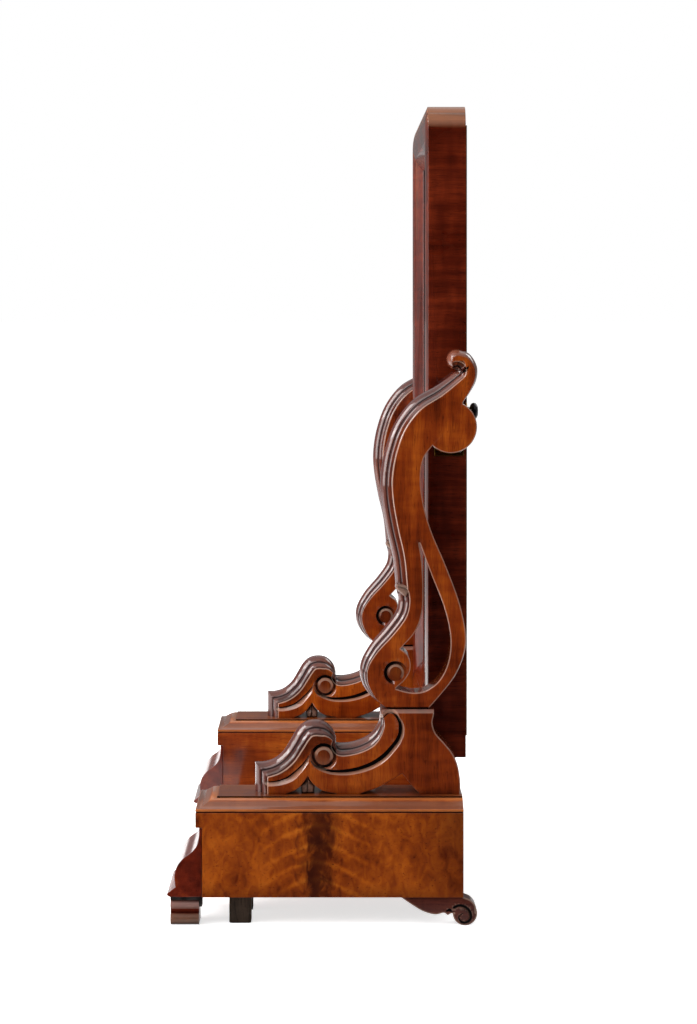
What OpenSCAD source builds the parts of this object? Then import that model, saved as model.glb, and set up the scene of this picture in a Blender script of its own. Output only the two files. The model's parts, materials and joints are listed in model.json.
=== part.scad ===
/* [Overall] */
// Width over the two drawer boxes
overall_w = 600; // [560:5:680]

/* [Drawer boxes] */
// Width of one box
box_w = 105; // [98:1:120]
// Depth of one box, from the frieze to the back
box_d = 268.3; // [262:0.1:275]
// Height of a box without its moulded top
box_h = 84.6; // [80:0.1:92]
// Height of the feet, table to carcase
foot_h = 28.4; // [26:0.1:32]
// Thickness of the box sides and back
wall_t = 8; // [6:0.5:9]
// Thickness of the bottom boards
floor_t = 7; // [5:0.5:9]
// Thickness of the moulded top
top_t = 13; // [11:0.5:16]
// Width of the moulding round the top
mould_w = 24; // [22:0.5:26]
// Height of the frieze above a drawer
frieze_h = 15; // [12:0.5:18]
// How far the frieze stands before the box sides
frieze_out = 6.7; // [5:0.1:8]

/* [Drawers] */
// How far the lip of a drawer stands before the frieze
lip_out = 28.6; // [26:0.1:31]
// Space behind a closed drawer
drawer_rear = 17.9; // [8:0.1:30]
// Thickness of the drawer linings
lining_t = 6; // [4:0.5:8]
// Thickness of the drawer bottoms
drawer_floor_t = 5; // [4:0.5:7]
// Clearance of a drawer at each side
drawer_gap = 0.5; // [0.3:0.1:1]

/* [Platform] */
// Thickness of the board between the boxes
platform_t = 12; // [10:0.5:16]
// Height of the rail behind the platform
rail_h = 44; // [30:1:60]

/* [Brackets] */
// Thickness of a bracket
bracket_t = 44; // [38:0.5:46]
// Length of a bracket
bracket_l = 208.2; // [196:0.1:216]
// Height of a bracket
bracket_h = 85.5; // [80:0.1:92]
// Depth of the reeds along the top of a bracket
arm_reed = 13; // [10:0.5:14]

/* [Uprights] */
// Thickness of an upright
upright_t = 35; // [31:0.5:38]
// Height of the pivots above the foot of an upright
upright_h = 286; // [270:0.5:310]
// Depth of an upright between its two bellies
upright_d = 106.7; // [101:0.1:110]
// Radius of the round boss at the pivot
boss_r = 26.6; // [24:0.1:28]
// Distance of the pivots before the backs of the boxes
pivot_in = 11.2; // [6:0.1:16]
// Depth of the reeds along the front of an upright
upright_reed = 12; // [9:0.5:13]

/* [Mirror] */
// Height of the mirror frame
mirror_h = 671.4; // [640:0.1:700]
// Height of the pivots above the bottom of the frame
pivot_up = 341.9; // [325:0.1:350]
// Depth of the frame, front to back
frame_d = 38.5; // [36:0.1:44]
// Distance of the pivots behind the front of the frame
pivot_back = 21.2; // [19:0.1:23]
// Gap between the frame and an upright
side_gap = 6; // [5.6:0.1:9]
// Width of the frame's face
face_w = 46; // [42:0.5:52]
// Radius of the frame's upper corners
corner_r = 25; // [15:0.5:32]
// Thickness of the mirror glass
glass_t = 4; // [3:0.5:6]
// Thickness of the slip round the glass
slip_t = 2; // [1.5:0.1:3]
// Thickness of the backboard
backboard_t = 8.2; // [6.5:0.1:10]
// Distance of the backboard from the edges of the frame
backboard_in = 19; // [16:0.5:22]

/* [Fittings] */
// Radius of the pivot spindles
spindle_r = 5; // [4:0.1:5.5]
// Outer radius of the pivot bushes
bush_r = 7; // [6.6:0.1:8]
// Length of the pivot bushes in the frame
bush_l = 24; // [20:0.5:28]
// Width of the pivot plates
plate_w = 30; // [27:0.5:34]
// Height of the pivot plates
plate_h = 63; // [58:0.5:70]
// Thickness of the pivot plates
plate_t = 2.5; // [2:0.1:3]
// Radius of the clamp knobs
knob_r = 8.75; // [7:0.1:9]
// How far the clamp knobs reach behind the frame
knob_reach = 13; // [11.5:0.1:16]
// Radius of the clamp screws
clamp_r = 3; // [2.5:0.1:3.4]
// Height of the clamp screws above the pivots
clamp_up = 14.2; // [13.6:0.1:16]
// Distance of the clamp screws from the side of the frame
clamp_in = 8; // [7.6:0.1:10]
// Radius of the dowels
dowel_r = 5; // [4:0.5:6]

/* [Hidden] */
$fn = 48;

// running fit of a turning pin, and the space round parts that move past each other
fit = 0.05;
slack = 0.3;
eps = 0.01;

// depth of the whole, front lip to clamp knob, set about the middle
frame_back = frame_d - pivot_back;
total_d = lip_out + box_d - pivot_in + frame_back + knob_reach;
lip_y = -total_d / 2;
frieze_y = lip_y + lip_out;
side_y = frieze_y + frieze_out;
back_y = frieze_y + box_d;
pivot_y = back_y - pivot_in;

// heights
top_z = foot_h + box_h + top_t;
column_z = top_z + bracket_h;
pivot_z = column_z + upright_h;
mirror_z = pivot_z - pivot_up;

// places across
box_x = overall_w / 2 - box_w;
stand_x = overall_w / 2 - box_w / 2;
upright_x = stand_x - upright_t / 2;
mirror_x = upright_x - side_gap;
front_y = pivot_y - pivot_back;
clamp_x = mirror_x - clamp_in;
clamp_z = pivot_z + clamp_up;

// drawers: room over the bottom board, under the frieze and before the box sides
front_gap = 0.5;
drawer_z = foot_h + floor_t + slack;
drawer_top = foot_h + box_h - frieze_h - 4;
drawer_x = box_x + wall_t + drawer_gap;
drawer_w = box_w - 2 * wall_t - 2 * drawer_gap;
drawer_y = side_y - slack;
drawer_l = back_y - wall_t - drawer_rear - drawer_y;

// heights and depths that the outlines below were drawn at
drawn_rise = 286;
drawn_upright_d = 106.7;
drawn_arm_l = 208.2;
drawn_arm_h = 85.5;
drawn_front_h = 68.6;
drawn_foot_h = 28.4;
drawn_lip = 35;

// the frame's section: bevel, sight edge, rabbets for glass and backboard
bevel_w = 12;
bevel_d = 8;
sight_d = 10.5;
glass_rabbet = 6;
backboard_sunk = 6.1;
glass_y = front_y + sight_d + slip_t;
board_y = front_y + frame_d - backboard_sunk;

// box carcase and its moulded edge
frieze_d = 18;
fillet_h = 3;

// feet
foot_in = 2;
front_foot_w = 36;
front_foot_d = 28.6;
front_foot_y = lip_y + 3.5;
roll_r = 6;
volute_r = 12.2;
rear_foot_t = 21;
rear_foot_out = 1.5;
block_w = 22;
block_in = 13;
strap_t = 2.9;
strap_tail = 22;
lug_h = 9.8;

// board and rail between the boxes
platform_in = 16;
back_rail_t = 12;

// carving of the brackets and uprights
carve_d = 2.5;
groove_w = 3.6;
reed_lap = 2;
reed_step = 5;
dowel_l = 12;

// small fittings
flange_r = 12;
flange_t = 1.5;
collar_t = 1.7;
spindle_in = 22;
insert_r = 6;
insert_l = 10;
insert_flange = 9;
cone_l = 4;
plunger_r = 2.4;
screw_r = 1.6;
screw_head = 3.4;

// smooth open curve through the points p
function bend(p, n = 5) =
    let (k = len(p) - 1, q = concat([2 * p[0] - p[1]], p, [2 * p[k] - p[k - 1]]))
    concat([for (i = [1:k], j = [0:n - 1])
        let (t = j / n, a = q[i - 1], b = q[i], c = q[i + 1], d = q[i + 2])
        (2 * b + (c - a) * t + (2 * a - 5 * b + 4 * c - d) * t * t
            + (3 * b - a - 3 * c + d) * t * t * t) / 2], [p[k]]);

// the curve moved to its right by d, which changes evenly to e after the share s of its points
function inset(p, d, e, s = 1) =
    let (k = len(p) - 1)
    [for (i = [0:k])
        let (a = p[max(i - 1, 0)], b = p[min(i + 1, k)], t = (b - a) / norm(b - a),
             m = i / k > s ? d + (e - d) * (i / k - s) / (1 - s) : d)
        p[i] + m * [t[1], -t[0]]];

function turned(p) = [for (i = [len(p) - 1:-1:0]) p[i]];
function stretched(p, x, y) = [for (q = p) [q[0] * x, q[1] * y]];
function beyond(p, w) = [for (q = p) if (q[0] > w) q];
function band(p, w) = concat(inset(p, -w / 2), turned(inset(p, w / 2)));

// lays a drawing of depth and height against the side, t thick from x
module side_cut(x, t) {
    translate([x, 0, 0]) rotate([90, 0, 90]) linear_extrude(t) children();
}

// lays a drawing of width and height across the front, t thick from y
module front_cut(y, t) {
    translate([0, y + t, 0]) rotate([90, 0, 0]) linear_extrude(t) children();
}

module pin_x(x, y, z, r, l) { translate([x, y, z]) rotate([0, 90, 0]) cylinder(r = r, h = l); }
module pin_y(x, y, z, r, l) { translate([x, y, z]) rotate([-90, 0, 0]) cylinder(r = r, h = l); }

// round groove cut into both sides of the face at x
module ring(x, y, z, r1, r2) {
    difference() {
        pin_x(x - carve_d, y, z, r1, 2 * carve_d);
        pin_x(x - 2 * carve_d, y, z, r2, 4 * carve_d);
    }
}

module left() { mirror([1, 0, 0]) children(); }

module block(x, y, z, w, d, h) { translate([x, y, z]) cube([w, d, h]); }

// Boxes

module outer_side() {
    color([0.55, 0.27, 0.08]) side_cut(box_x + box_w - wall_t, wall_t) side_outline();
}

module inner_side() {
    color([0.47, 0.21, 0.08]) side_cut(box_x, wall_t) side_outline();
}

module side_outline() {
    polygon([[side_y, foot_h], [side_y, foot_h + box_h - frieze_h],
        [frieze_y, foot_h + box_h - frieze_h], [frieze_y, foot_h + box_h],
        [back_y, foot_h + box_h], [back_y, foot_h]]);
}

module back_board() {
    color([0.36, 0.2, 0.1])
        block(box_x + wall_t, back_y - wall_t, foot_h, box_w - 2 * wall_t, wall_t, box_h);
}

module bottom_board() {
    color([0.4, 0.23, 0.12])
        block(box_x + wall_t, side_y, foot_h, box_w - 2 * wall_t, box_d - frieze_out - wall_t, floor_t);
}

module frieze_rail() {
    color([0.5, 0.22, 0.1])
        block(box_x + wall_t, frieze_y, foot_h + box_h - frieze_h, box_w - 2 * wall_t, frieze_d,
            frieze_h);
}

// the moulded edge, from the rim inwards: a fillet, a flat and an S up to the table
function ogee_edge() = concat([[0, 0], [0, fillet_h]],
    [for (t = [0:8]) [8 + (mould_w - 11) * t / 8,
        fillet_h + 1 + (top_t - fillet_h - 1) * (1 - cos(22.5 * t)) / 2]]);

module box_top() {
    edge = ogee_edge();
    color([0.6, 0.33, 0.2]) difference() {
        intersection() {
            front_cut(frieze_y, box_d) translate([box_x, top_z - top_t])
                polygon(concat(edge, turned([for (q = edge) [box_w - q[0], q[1]]])));
            side_cut(box_x, box_w) translate([frieze_y, top_z - top_t])
                polygon(concat(edge, [[box_d, top_t], [box_d, 0]]));
        }
        dowel_places(fit);
    }
}

// Drawers

// the front of a drawer from the side, depth from the lip and height from the underside
function drawer_ogee() = concat(
    bend([[32.2, 68.6], [32.3, 63], [30.5, 52.6], [25, 44.9], [16.5, 38.6], [10, 30.1],
        [7.6, 21], [8.5, 9.8]]),
    [[0.6, 3.7], [0, 2.5], [0.7, 1.2], [3.5, 0]]);

module drawer_front() {
    z = foot_h + front_gap;
    h = box_h - frieze_h - 2 * front_gap;
    d = drawer_y - lip_y;
    color([0.4, 0.14, 0.07]) side_cut(box_x, box_w) translate([lip_y, z])
        polygon(concat([[d, h]], stretched(drawer_ogee(), d / drawn_lip, h / drawn_front_h), [[d, 0]]));
}

module drawer_sides() {
    color([0.45, 0.3, 0.18]) for (x = [drawer_x, drawer_x + drawer_w - lining_t])
        block(x, drawer_y, drawer_z, lining_t, drawer_l, drawer_top - drawer_z);
}

module drawer_back() {
    color([0.45, 0.3, 0.18])
        block(drawer_x + lining_t, drawer_y + drawer_l - lining_t, drawer_z,
            drawer_w - 2 * lining_t, lining_t, drawer_top - drawer_z);
}

module drawer_bottom() {
    color([0.5, 0.35, 0.2])
        block(drawer_x + lining_t, drawer_y, drawer_z,
            drawer_w - 2 * lining_t, drawer_l - lining_t, drawer_floor_t);
}

// Feet, platform and rail

// outer end of a front foot: a round above, a hollow, and a roll below, seen from the front
module front_foot() {
    h = foot_h - strap_t;
    x1 = overall_w / 2 - foot_in;
    x0 = x1 - front_foot_w;
    color([0.38, 0.18, 0.12]) union() {
        front_cut(front_foot_y, front_foot_d) polygon(concat([[x0, 0], [x0, h]],
            bend([[x1 - 4, h], [x1 - 1, h - 3], [x1 - 0.5, h - 6], [x1 - 4, h - 10.5],
                [x1 - roll_r, h - 14]]),
            [[x1 - roll_r, 0]]));
        pin_y(x1 - roll_r, front_foot_y, roll_r, roll_r, front_foot_d);
    }
}

// scroll behind the box: a neck over the volute and a wave along the underside
module rear_foot() {
    x = overall_w / 2 - foot_in - rear_foot_t;
    y = back_y + rear_foot_out;
    k = foot_h / drawn_foot_h;
    color([0.4, 0.16, 0.07]) difference() {
        union() {
            side_cut(x, rear_foot_t) translate([y, 0]) polygon(concat([[-rear_foot_out, foot_h]],
                bend([[-1, foot_h - 0.2], [5.5, 25.5 * k], [10.3, 20 * k], [11, 13]]),
                [[0, volute_r - 4]],
                bend([[-11, volute_r], [-14, 12 * k], [-17.3, 10.5 * k], [-20, 12.4 * k]]),
                bend([[-22, 12.6 * k], [-30, 11 * k], [-41.5, 14 * k], [-52, 20 * k],
                    [-64.5, foot_h]])));
            pin_x(x, y, volute_r, volute_r, rear_foot_t);
        }
        for (x2 = [x, x + rear_foot_t]) ring(x2, y, volute_r, volute_r - 3.5, 4.5);
    }
}

module block_feet() {
    color([0.2, 0.15, 0.12])
        for (p = [[box_x + box_w - block_in, side_y + 37.7], [box_x + block_in, side_y + 37.7],
                  [box_x + block_in, back_y - 28.9]])
            translate([p[0] + (p[0] > stand_x ? -1 : 1) * block_w / 2, p[1], 0]) intersection() {
                cylinder(r = block_w * 0.64, h = foot_h);
                block(-block_w / 2, -block_w / 2, 0, block_w, block_w, foot_h);
            }
}

module foot_strap() {
    x1 = overall_w / 2 - foot_in - 1;
    x0 = overall_w / 2 - foot_in - front_foot_w;
    z = foot_h - strap_t;
    color([0.08, 0.08, 0.09]) union() {
        block(x0, front_foot_y, z, x1 - x0, side_y - front_foot_y, strap_t);
        block(x0, front_foot_y, z, strap_tail, side_y + strap_tail - front_foot_y, strap_t);
        block(x0 + strap_tail, front_foot_y + front_foot_d, foot_h - lug_h,
            x1 - x0 - strap_tail, side_y - front_foot_y - front_foot_d, lug_h);
    }
}

module platform() {
    color([0.5, 0.24, 0.1])
        block(-box_x, side_y + platform_in, foot_h, 2 * box_x,
            back_y - side_y - platform_in - wall_t, platform_t);
}

module back_rail() {
    color([0.45, 0.2, 0.09])
        block(-box_x, back_y - 2 * back_rail_t, foot_h + platform_t, 2 * box_x, back_rail_t, rail_h);
}

// Brackets, drawn from the front of the arm and up from the box top

function arm_top() = bend([[0, 29.5], [10, 30], [20, 33.5], [29, 41], [36, 52], [43, 63.5], [51, 70.5],
    [61, 72.6], [71, 70.5], [79, 63], [82.3, 54], [82.5, 48.5]]);
function arm_tail() = bend([[82.5, 48.5], [96, 49.5], [108, 53], [118.5, 59.5], [125, 69], [126.5, 77],
    [127, 85.5]]);
function column_back() = bend([[181.5, 85.5], [181.3, 80], [180, 72], [183, 62], [192, 51.5],
    [200, 41.5], [205.5, 29], [208, 14], [208.2, 0]]);
function column_arch() = concat([[168, 0]], bend([[166, 1.5], [158, 10], [149.4, 21]]),
    bend([[149.4, 21], [137, 13.7], [124, 6.5], [108, 0.8]]), [[104, 0]]);
function arm_under() = concat([[84, 0]], bend([[82, 0.6], [70, 3], [62, 8], [57, 13], [54, 18]]),
    bend([[54, 18], [48, 10], [42, 4.5], [33, 0.6]]), [[31, 0]]);
function arm_groove() = bend([[56, 29.5], [66.6, 23.6], [80.8, 20.5], [93, 19.6], [106, 21.4],
    [121.5, 26.9], [135.4, 36.9], [146, 49.3], [150.5, 61.7], [149.4, 73], [144.7, 80.5]]);

eye = [69.3, 38];
arm_x = bracket_l / drawn_arm_l;
arm_z = bracket_h / drawn_arm_h;
arm_y = back_y - 1.7 - bracket_l;

// the drawing of a bracket with its reeded edge cut back by d
module bracket_outline(d, tail) {
    r = d / arm_x;
    scale_drawing() polygon(concat([[r, 0], [r, 29.5 - r]],
        beyond(inset(arm_top(), d, 2, 0.6), r), inset(arm_tail(), tail, tail * 0.6), [[140, 85.5]],
        column_back(), column_arch(), arm_under()));
}

module scale_drawing() { translate([arm_y, top_z]) scale([arm_x, arm_z]) children(); }

// a reed along the arm and the tail, from the depth d inwards, w thick
module bracket_reed(d, w) {
    e = arm_reed + reed_lap;
    side_cut(stand_x - w / 2, w) scale_drawing() {
        polygon(concat([[d, 0], [d, 29.5 - d]], beyond(inset(arm_top(), d, d / 6, 0.6), d), [[84, 43]],
            turned(beyond(inset(arm_top(), e, 4, 0.6), e)), [[e, 29.5 - e], [e, 0]]));
        polygon(concat(inset(arm_tail(), d * 0.7, d * 0.5), [[140, 85.5], [140, 82]],
            turned(inset(arm_tail(), 11, 7))));
    }
}

module bracket() {
    x = stand_x - bracket_t / 2;
    color([0.56, 0.26, 0.08]) difference() {
        union() {
            side_cut(x, bracket_t) bracket_outline(arm_reed, 9.5);
            bracket_reed(reed_step, bracket_t * 0.72);
            bracket_reed(0, bracket_t * 0.4);
            leaf();
        }
        for (x2 = [x - eps, x + bracket_t - carve_d]) side_cut(x2, carve_d + eps)
            scale_drawing() polygon(band(arm_groove(), groove_w));
        for (x2 = [x, x + bracket_t])
            ring(x2, arm_y + eye[0] * arm_x, top_z + eye[1] * arm_z, 12.2, 8.4);
        dowel_places(fit);
    }
}

// small carved leaf between the arm and its belly
module leaf() {
    side_cut(stand_x - bracket_t * 0.36, bracket_t * 0.72) scale_drawing()
        polygon([[47.5, 0], [46.5, 4], [50, 9], [54, 20], [58, 9.5], [61, 4], [60, 0]]);
}

// Uprights, drawn from the pivot back and up from the foot

function scroll_front() = bend([[-64.5, 0], [-80, 10], [-90.5, 26], [-91.5, 44], [-82, 63], [-66, 82],
    [-55.5, 97], [-53, 108], [-53.8, 115]]);
function body_front() = bend([[-55.5, 123], [-58.5, 152], [-65, 181], [-70, 210], [-71, 234],
    [-66.5, 262], [-56, 290], [-38, 313], [-14, 327.5], [3.5, 340]]);
function neck() = concat([[16, 343], [15, 352], [8, 364.3]],
    bend([[9, 364.3], [20, 359.5], [27.3, 347], [26.5, 333], [20, 320.5], [13, 311]]));
function body_back() = bend([[-18.5, 267], [-27.5, 254], [-30.5, 234], [-27.8, 209], [-20, 181],
    [-4.5, 144], [9, 107], [15.2, 76], [13.5, 56], [5, 35], [-9, 16], [-23, 0]]);
function loop() = concat(
    bend([[-32, 168], [-29, 148], [-27.8, 120], [-29, 98], [-36, 78.5], [-51, 61]]),
    bend([[-51, 61], [-43.8, 55], [-40.7, 46], [-42, 37], [-47.4, 28.7], [-55.5, 21.5]]),
    bend([[-55.5, 20.5], [-45, 17.5], [-34.8, 16.6], [-24.5, 19], [-12.5, 28], [-4, 43], [-0.3, 62],
        [-1.5, 82], [-8, 107], [-20, 137], [-31.4, 168]]));

curl = [6.8, 353.9];
curl_r = 10.4;
volute = [-55.6, 35.6];
stand_k = upright_h / drawn_rise;
stand_y = upright_d / drawn_upright_d;

module stand_drawing() { translate([pivot_y, column_z]) scale([stand_y, stand_k]) children(); }

module upright_outline(d) {
    stand_drawing() polygon(concat([[-64.5, 0]],
        inset(scroll_front(), 0, d, 0), inset(body_front(), d, d), neck(), [[0, drawn_rise]],
        body_back(), [[-30, 0]]));
    translate([pivot_y, pivot_z]) circle(r = boss_r, $fn = 64);
    translate([pivot_y + curl[0] * stand_y, column_z + curl[1] * stand_k]) circle(r = curl_r);
}

// a reed along the front of an upright, from the depth d inwards, w thick
module upright_reed_strip(d, w) {
    e = upright_reed + reed_lap;
    side_cut(stand_x - w / 2, w) stand_drawing() {
        polygon(concat(inset(scroll_front(), d, d), turned(inset(scroll_front(), 1, e, 0))));
        polygon(concat(inset(body_front(), d, d), turned(inset(body_front(), e, e))));
    }
}

module upright() {
    x = upright_x;
    color([0.58, 0.27, 0.08]) difference() {
        union() {
            side_cut(x, upright_t) upright_outline(upright_reed);
            upright_reed_strip(reed_step, upright_t * 0.7);
            upright_reed_strip(0, upright_t * 0.38);
        }
        side_cut(x - 1, upright_t + 2) stand_drawing() polygon(loop());
        for (x2 = [x, x + upright_t])
            ring(x2, pivot_y + volute[0] * stand_y, column_z + volute[1] * stand_k, 10.6, 7);
        pin_x(x - 1, pivot_y, pivot_z, spindle_r + fit / 2, spindle_in + 1.5);
        dowel_places(fit);
    }
}

// two dowels under a bracket and one under an upright, each half in either piece
module dowel_places(g) {
    for (p = [[20, top_z], [176.5, top_z], [160, column_z]])
        translate([stand_x, arm_y + p[0] * arm_x, p[1] - dowel_l - g])
            cylinder(r = dowel_r + g, h = 2 * (dowel_l + g));
}

module dowels() { color([0.7, 0.55, 0.35]) dowel_places(0); }

module spindle() {
    l = mirror_x - bush_l + 1;
    color([0.75, 0.58, 0.25]) union() {
        pin_x(l, pivot_y, pivot_z, spindle_r, upright_x + spindle_in - l);
        pin_x(upright_x - collar_t, pivot_y, pivot_z, flange_r - 1, collar_t);
    }
}

// Mirror

// section of the frame, distance in from the edge and depth from the front
function frame_section() = [[0, 0], [face_w - bevel_w, 0], [face_w, bevel_d], [face_w, sight_d],
    [face_w - glass_rabbet, sight_d], [face_w - glass_rabbet, frame_d - backboard_sunk],
    [backboard_in, frame_d - backboard_sunk], [backboard_in, frame_d], [0, frame_d]];

// one length of the section, standing on its outer edge at the origin and running up
module frame_length(l) { linear_extrude(l) polygon(frame_section()); }

module frame_cut() {
    m = mirror_x;
    front_cut(front_y - 1, frame_d + 2) translate([0, mirror_z]) difference() {
        translate([-m, 0]) square([2 * m, mirror_h]);
        for (s = [-1, 1]) translate([s * (m - corner_r), mirror_h - corner_r]) difference() {
            translate([s > 0 ? 0 : -corner_r - 1, 0]) square(corner_r + 1);
            circle(r = corner_r, $fn = 64);
        }
    }
}

// the mitred part of the frame that belongs to one rail or stile, drawn from the front
module mitre(p) { front_cut(front_y - 1, frame_d + 2) polygon(p); }

module stile() {
    m = mirror_x;
    f = face_w + 30;
    z1 = mirror_z + mirror_h;
    color([0.36, 0.13, 0.07]) difference() {
        intersection() {
            translate([m, front_y, mirror_z]) mirror([1, 0, 0]) frame_length(mirror_h);
            frame_cut();
            mitre([[m, mirror_z], [m - f, mirror_z + f], [m - f, z1 - f], [m, z1]]);
        }
        pin_x(m - bush_l - slack, pivot_y, pivot_z, bush_r + fit / 2, bush_l + 1);
        pin_y(clamp_x, front_y + frame_d - insert_l - slack, clamp_z, insert_r + fit / 2, insert_l + 1);
        pin_y(clamp_x, pivot_y - clamp_r, clamp_z, clamp_r + slack, frame_back);
        plunger_hole(slack);
        plate_screw_places() pin_x(-12, 0, 0, screw_r + fit, 13);
        backboard_screw_places() pin_y(0, -6, 0, screw_r + fit, 16);
    }
}

module rail(z, up) {
    m = mirror_x;
    f = face_w + 30;
    color([0.36, 0.13, 0.07]) difference() {
        intersection() {
            translate([m, front_y, z]) rotate([0, -90, 0]) mirror([up ? 0 : 1, 0, 0]) frame_length(2 * m);
            frame_cut();
            mitre([[-m, z], [-m + f, z + (up ? f : -f)], [m - f, z + (up ? f : -f)], [m, z]]);
        }
        backboard_screw_places() pin_y(0, -6, 0, screw_r + fit, 16);
    }
}

module slip() {
    m = mirror_x - face_w + glass_rabbet - 0.5;
    z = mirror_z + face_w - glass_rabbet + 0.5;
    h = mirror_h - 2 * (face_w - glass_rabbet + 0.5);
    w = glass_rabbet + 1.5;
    color([0.15, 0.08, 0.05]) front_cut(front_y + sight_d, slip_t) difference() {
        translate([-m, z]) square([2 * m, h]);
        translate([-m + w, z + w]) square([2 * m - 2 * w, h - 2 * w]);
    }
}

module mirror_glass() {
    e = face_w - glass_rabbet + 1;
    color([0.8, 0.85, 0.88]) block(-mirror_x + e, glass_y, mirror_z + e,
        2 * (mirror_x - e), glass_t, mirror_h - 2 * e);
}

// glue blocks behind the glass, against the walls of its rabbet
module glass_blocks() {
    e = face_w - glass_rabbet;
    y = glass_y + glass_t;
    d = board_y - y - slack;
    h = mirror_h - 2 * e;
    color([0.7, 0.55, 0.35]) {
        for (k = [0.15, 0.5, 0.85], s = [0, 1])
            block(s == 0 ? -mirror_x + e : mirror_x - e - 10, y, mirror_z + e + k * h - 25, 10, d, 50);
        for (k = [-0.25, 0.25], s = [0, 1])
            block(k * 2 * mirror_x - 25, y, s == 0 ? mirror_z + e : mirror_z + e + h - 10, 50, d, 10);
    }
}

module backboard() {
    e = backboard_in + 0.5;
    color([0.35, 0.22, 0.13]) difference() {
        block(-mirror_x + e, board_y, mirror_z + e, 2 * (mirror_x - e), backboard_t, mirror_h - 2 * e);
        backboard_screw_places() pin_y(0, -1, 0, screw_r + fit, backboard_t + 2);
        backboard_screw_places() pin_y(0, backboard_t - 1.2, 0, screw_head + fit, 2);
        clamp_notch();
    }
}

// room in the backboard for the flanges of the clamp inserts
module clamp_notch() {
    for (s = [-1, 1])
        pin_y(s * clamp_x, front_y + frame_d - 15, clamp_z, insert_flange + 1, 25);
}

// calls its children at each screw of the backboard
module backboard_screw_places() {
    e = backboard_in + 8;
    for (k = [0.06, 0.36, 0.7, 0.94], s = [-1, 1])
        translate([s * (mirror_x - e), board_y, mirror_z + e + k * (mirror_h - 2 * e)]) children();
    for (k = [-0.4, 0.4], z = [mirror_z + e, mirror_z + mirror_h - e])
        translate([k * mirror_x, board_y, z]) children();
}

module backboard_screws() {
    color([0.25, 0.24, 0.22]) backboard_screw_places() union() {
        pin_y(0, -5.5, 0, screw_r, backboard_t + 4.5);
        pin_y(0, backboard_t - 1.2, 0, screw_head, 1.2);
    }
}

// Fittings of the pivots

module plate_screw_places() {
    for (a = [-1, 1], b = [-1, 1])
        translate([mirror_x, pivot_y + a * (plate_w / 2 - 4.5), pivot_z + b * (plate_h / 2 - 5)]) children();
}

module pivot_plate() {
    color([0.75, 0.57, 0.22]) difference() {
        block(mirror_x, pivot_y - plate_w / 2, pivot_z - plate_h / 2, plate_t, plate_w, plate_h);
        pin_x(mirror_x - 1, pivot_y, pivot_z, bush_r + fit / 2, plate_t + 2);
        plate_screw_places() pin_x(-1, 0, 0, screw_r + fit, plate_t + 2);
        plate_screw_places() pin_x(plate_t - 1, 0, 0, screw_head + fit, 2);
    }
}

module plate_screws() {
    color([0.65, 0.5, 0.22]) plate_screw_places() union() {
        pin_x(-11, 0, 0, screw_r, plate_t + 10.5);
        pin_x(plate_t - 1, 0, 0, screw_head, 1);
    }
}

module pivot_bush() {
    color([0.72, 0.55, 0.22]) difference() {
        union() {
            pin_x(mirror_x - bush_l, pivot_y, pivot_z, bush_r, bush_l + plate_t);
            pin_x(mirror_x + plate_t, pivot_y, pivot_z, flange_r, flange_t);
        }
        pin_x(mirror_x - bush_l - 1, pivot_y, pivot_z, spindle_r + fit, bush_l + plate_t + flange_t + 2);
        plunger_hole(fit);
    }
}

// way of the plunger from the clamp screw down to the spindle
module plunger_hole(g) {
    translate([clamp_x, pivot_y, pivot_z + spindle_r - 1])
        cylinder(r = plunger_r + g, h = clamp_up - spindle_r + 1);
}

module clamp_plunger() {
    z = pivot_z + spindle_r + fit;
    color([0.6, 0.48, 0.2]) translate([clamp_x, pivot_y, z])
        cylinder(r = plunger_r, h = clamp_up - spindle_r - clamp_r - 2 * fit);
}

module clamp_insert() {
    y = front_y + frame_d;
    color([0.7, 0.54, 0.22]) difference() {
        union() {
            pin_y(clamp_x, y - insert_l, clamp_z, insert_r, insert_l);
            pin_y(clamp_x, y, clamp_z, insert_flange, flange_t);
        }
        pin_y(clamp_x, y - insert_l - 1, clamp_z, clamp_r + fit, insert_l + flange_t + 2);
    }
}

// thumb screw: cone over the plunger, shank, collar and a lens-shaped knob
module clamp_screw() {
    y = pivot_y - clamp_r + slack;
    y1 = front_y + frame_d + knob_reach;
    n = 8;
    knob_t = knob_reach - 4;
    l = y1 - y - knob_t;
    collar_r = clamp_r + 1.6;
    color([0.1, 0.1, 0.11]) translate([clamp_x, y, clamp_z]) rotate([-90, 0, 0])
        rotate_extrude() polygon(concat([[0, 0], [clamp_r / 3, 0], [clamp_r, cone_l],
            [clamp_r, l - 2], [collar_r, l - 2], [collar_r, l - 0.5], [collar_r - 1, l]],
            [for (i = [1:n]) let (t = 180 * i / n)
                [i == n ? 0 : knob_r * sin(t) ^ 0.7, l + knob_t / 2 * (1 - cos(t))]]));
}

// All parts

platform();
back_rail();
outer_side();  // outer_side_right
left() outer_side();  // outer_side_left
inner_side();  // inner_side_right
left() inner_side();  // inner_side_left
back_board();  // back_board_right
left() back_board();  // back_board_left
bottom_board();  // bottom_board_right
left() bottom_board();  // bottom_board_left
frieze_rail();  // frieze_rail_right
left() frieze_rail();  // frieze_rail_left
box_top();  // box_top_right
left() box_top();  // box_top_left
drawer_front();  // drawer_front_right
left() drawer_front();  // drawer_front_left
drawer_sides();  // drawer_sides_right
left() drawer_sides();  // drawer_sides_left
drawer_back();  // drawer_back_right
left() drawer_back();  // drawer_back_left
drawer_bottom();  // drawer_bottom_right
left() drawer_bottom();  // drawer_bottom_left
front_foot();  // front_foot_right
left() front_foot();  // front_foot_left
rear_foot();  // rear_foot_right
left() rear_foot();  // rear_foot_left
block_feet();  // block_feet_right
left() block_feet();  // block_feet_left
foot_strap();  // foot_strap_right
left() foot_strap();  // foot_strap_left
bracket();  // bracket_right
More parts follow.
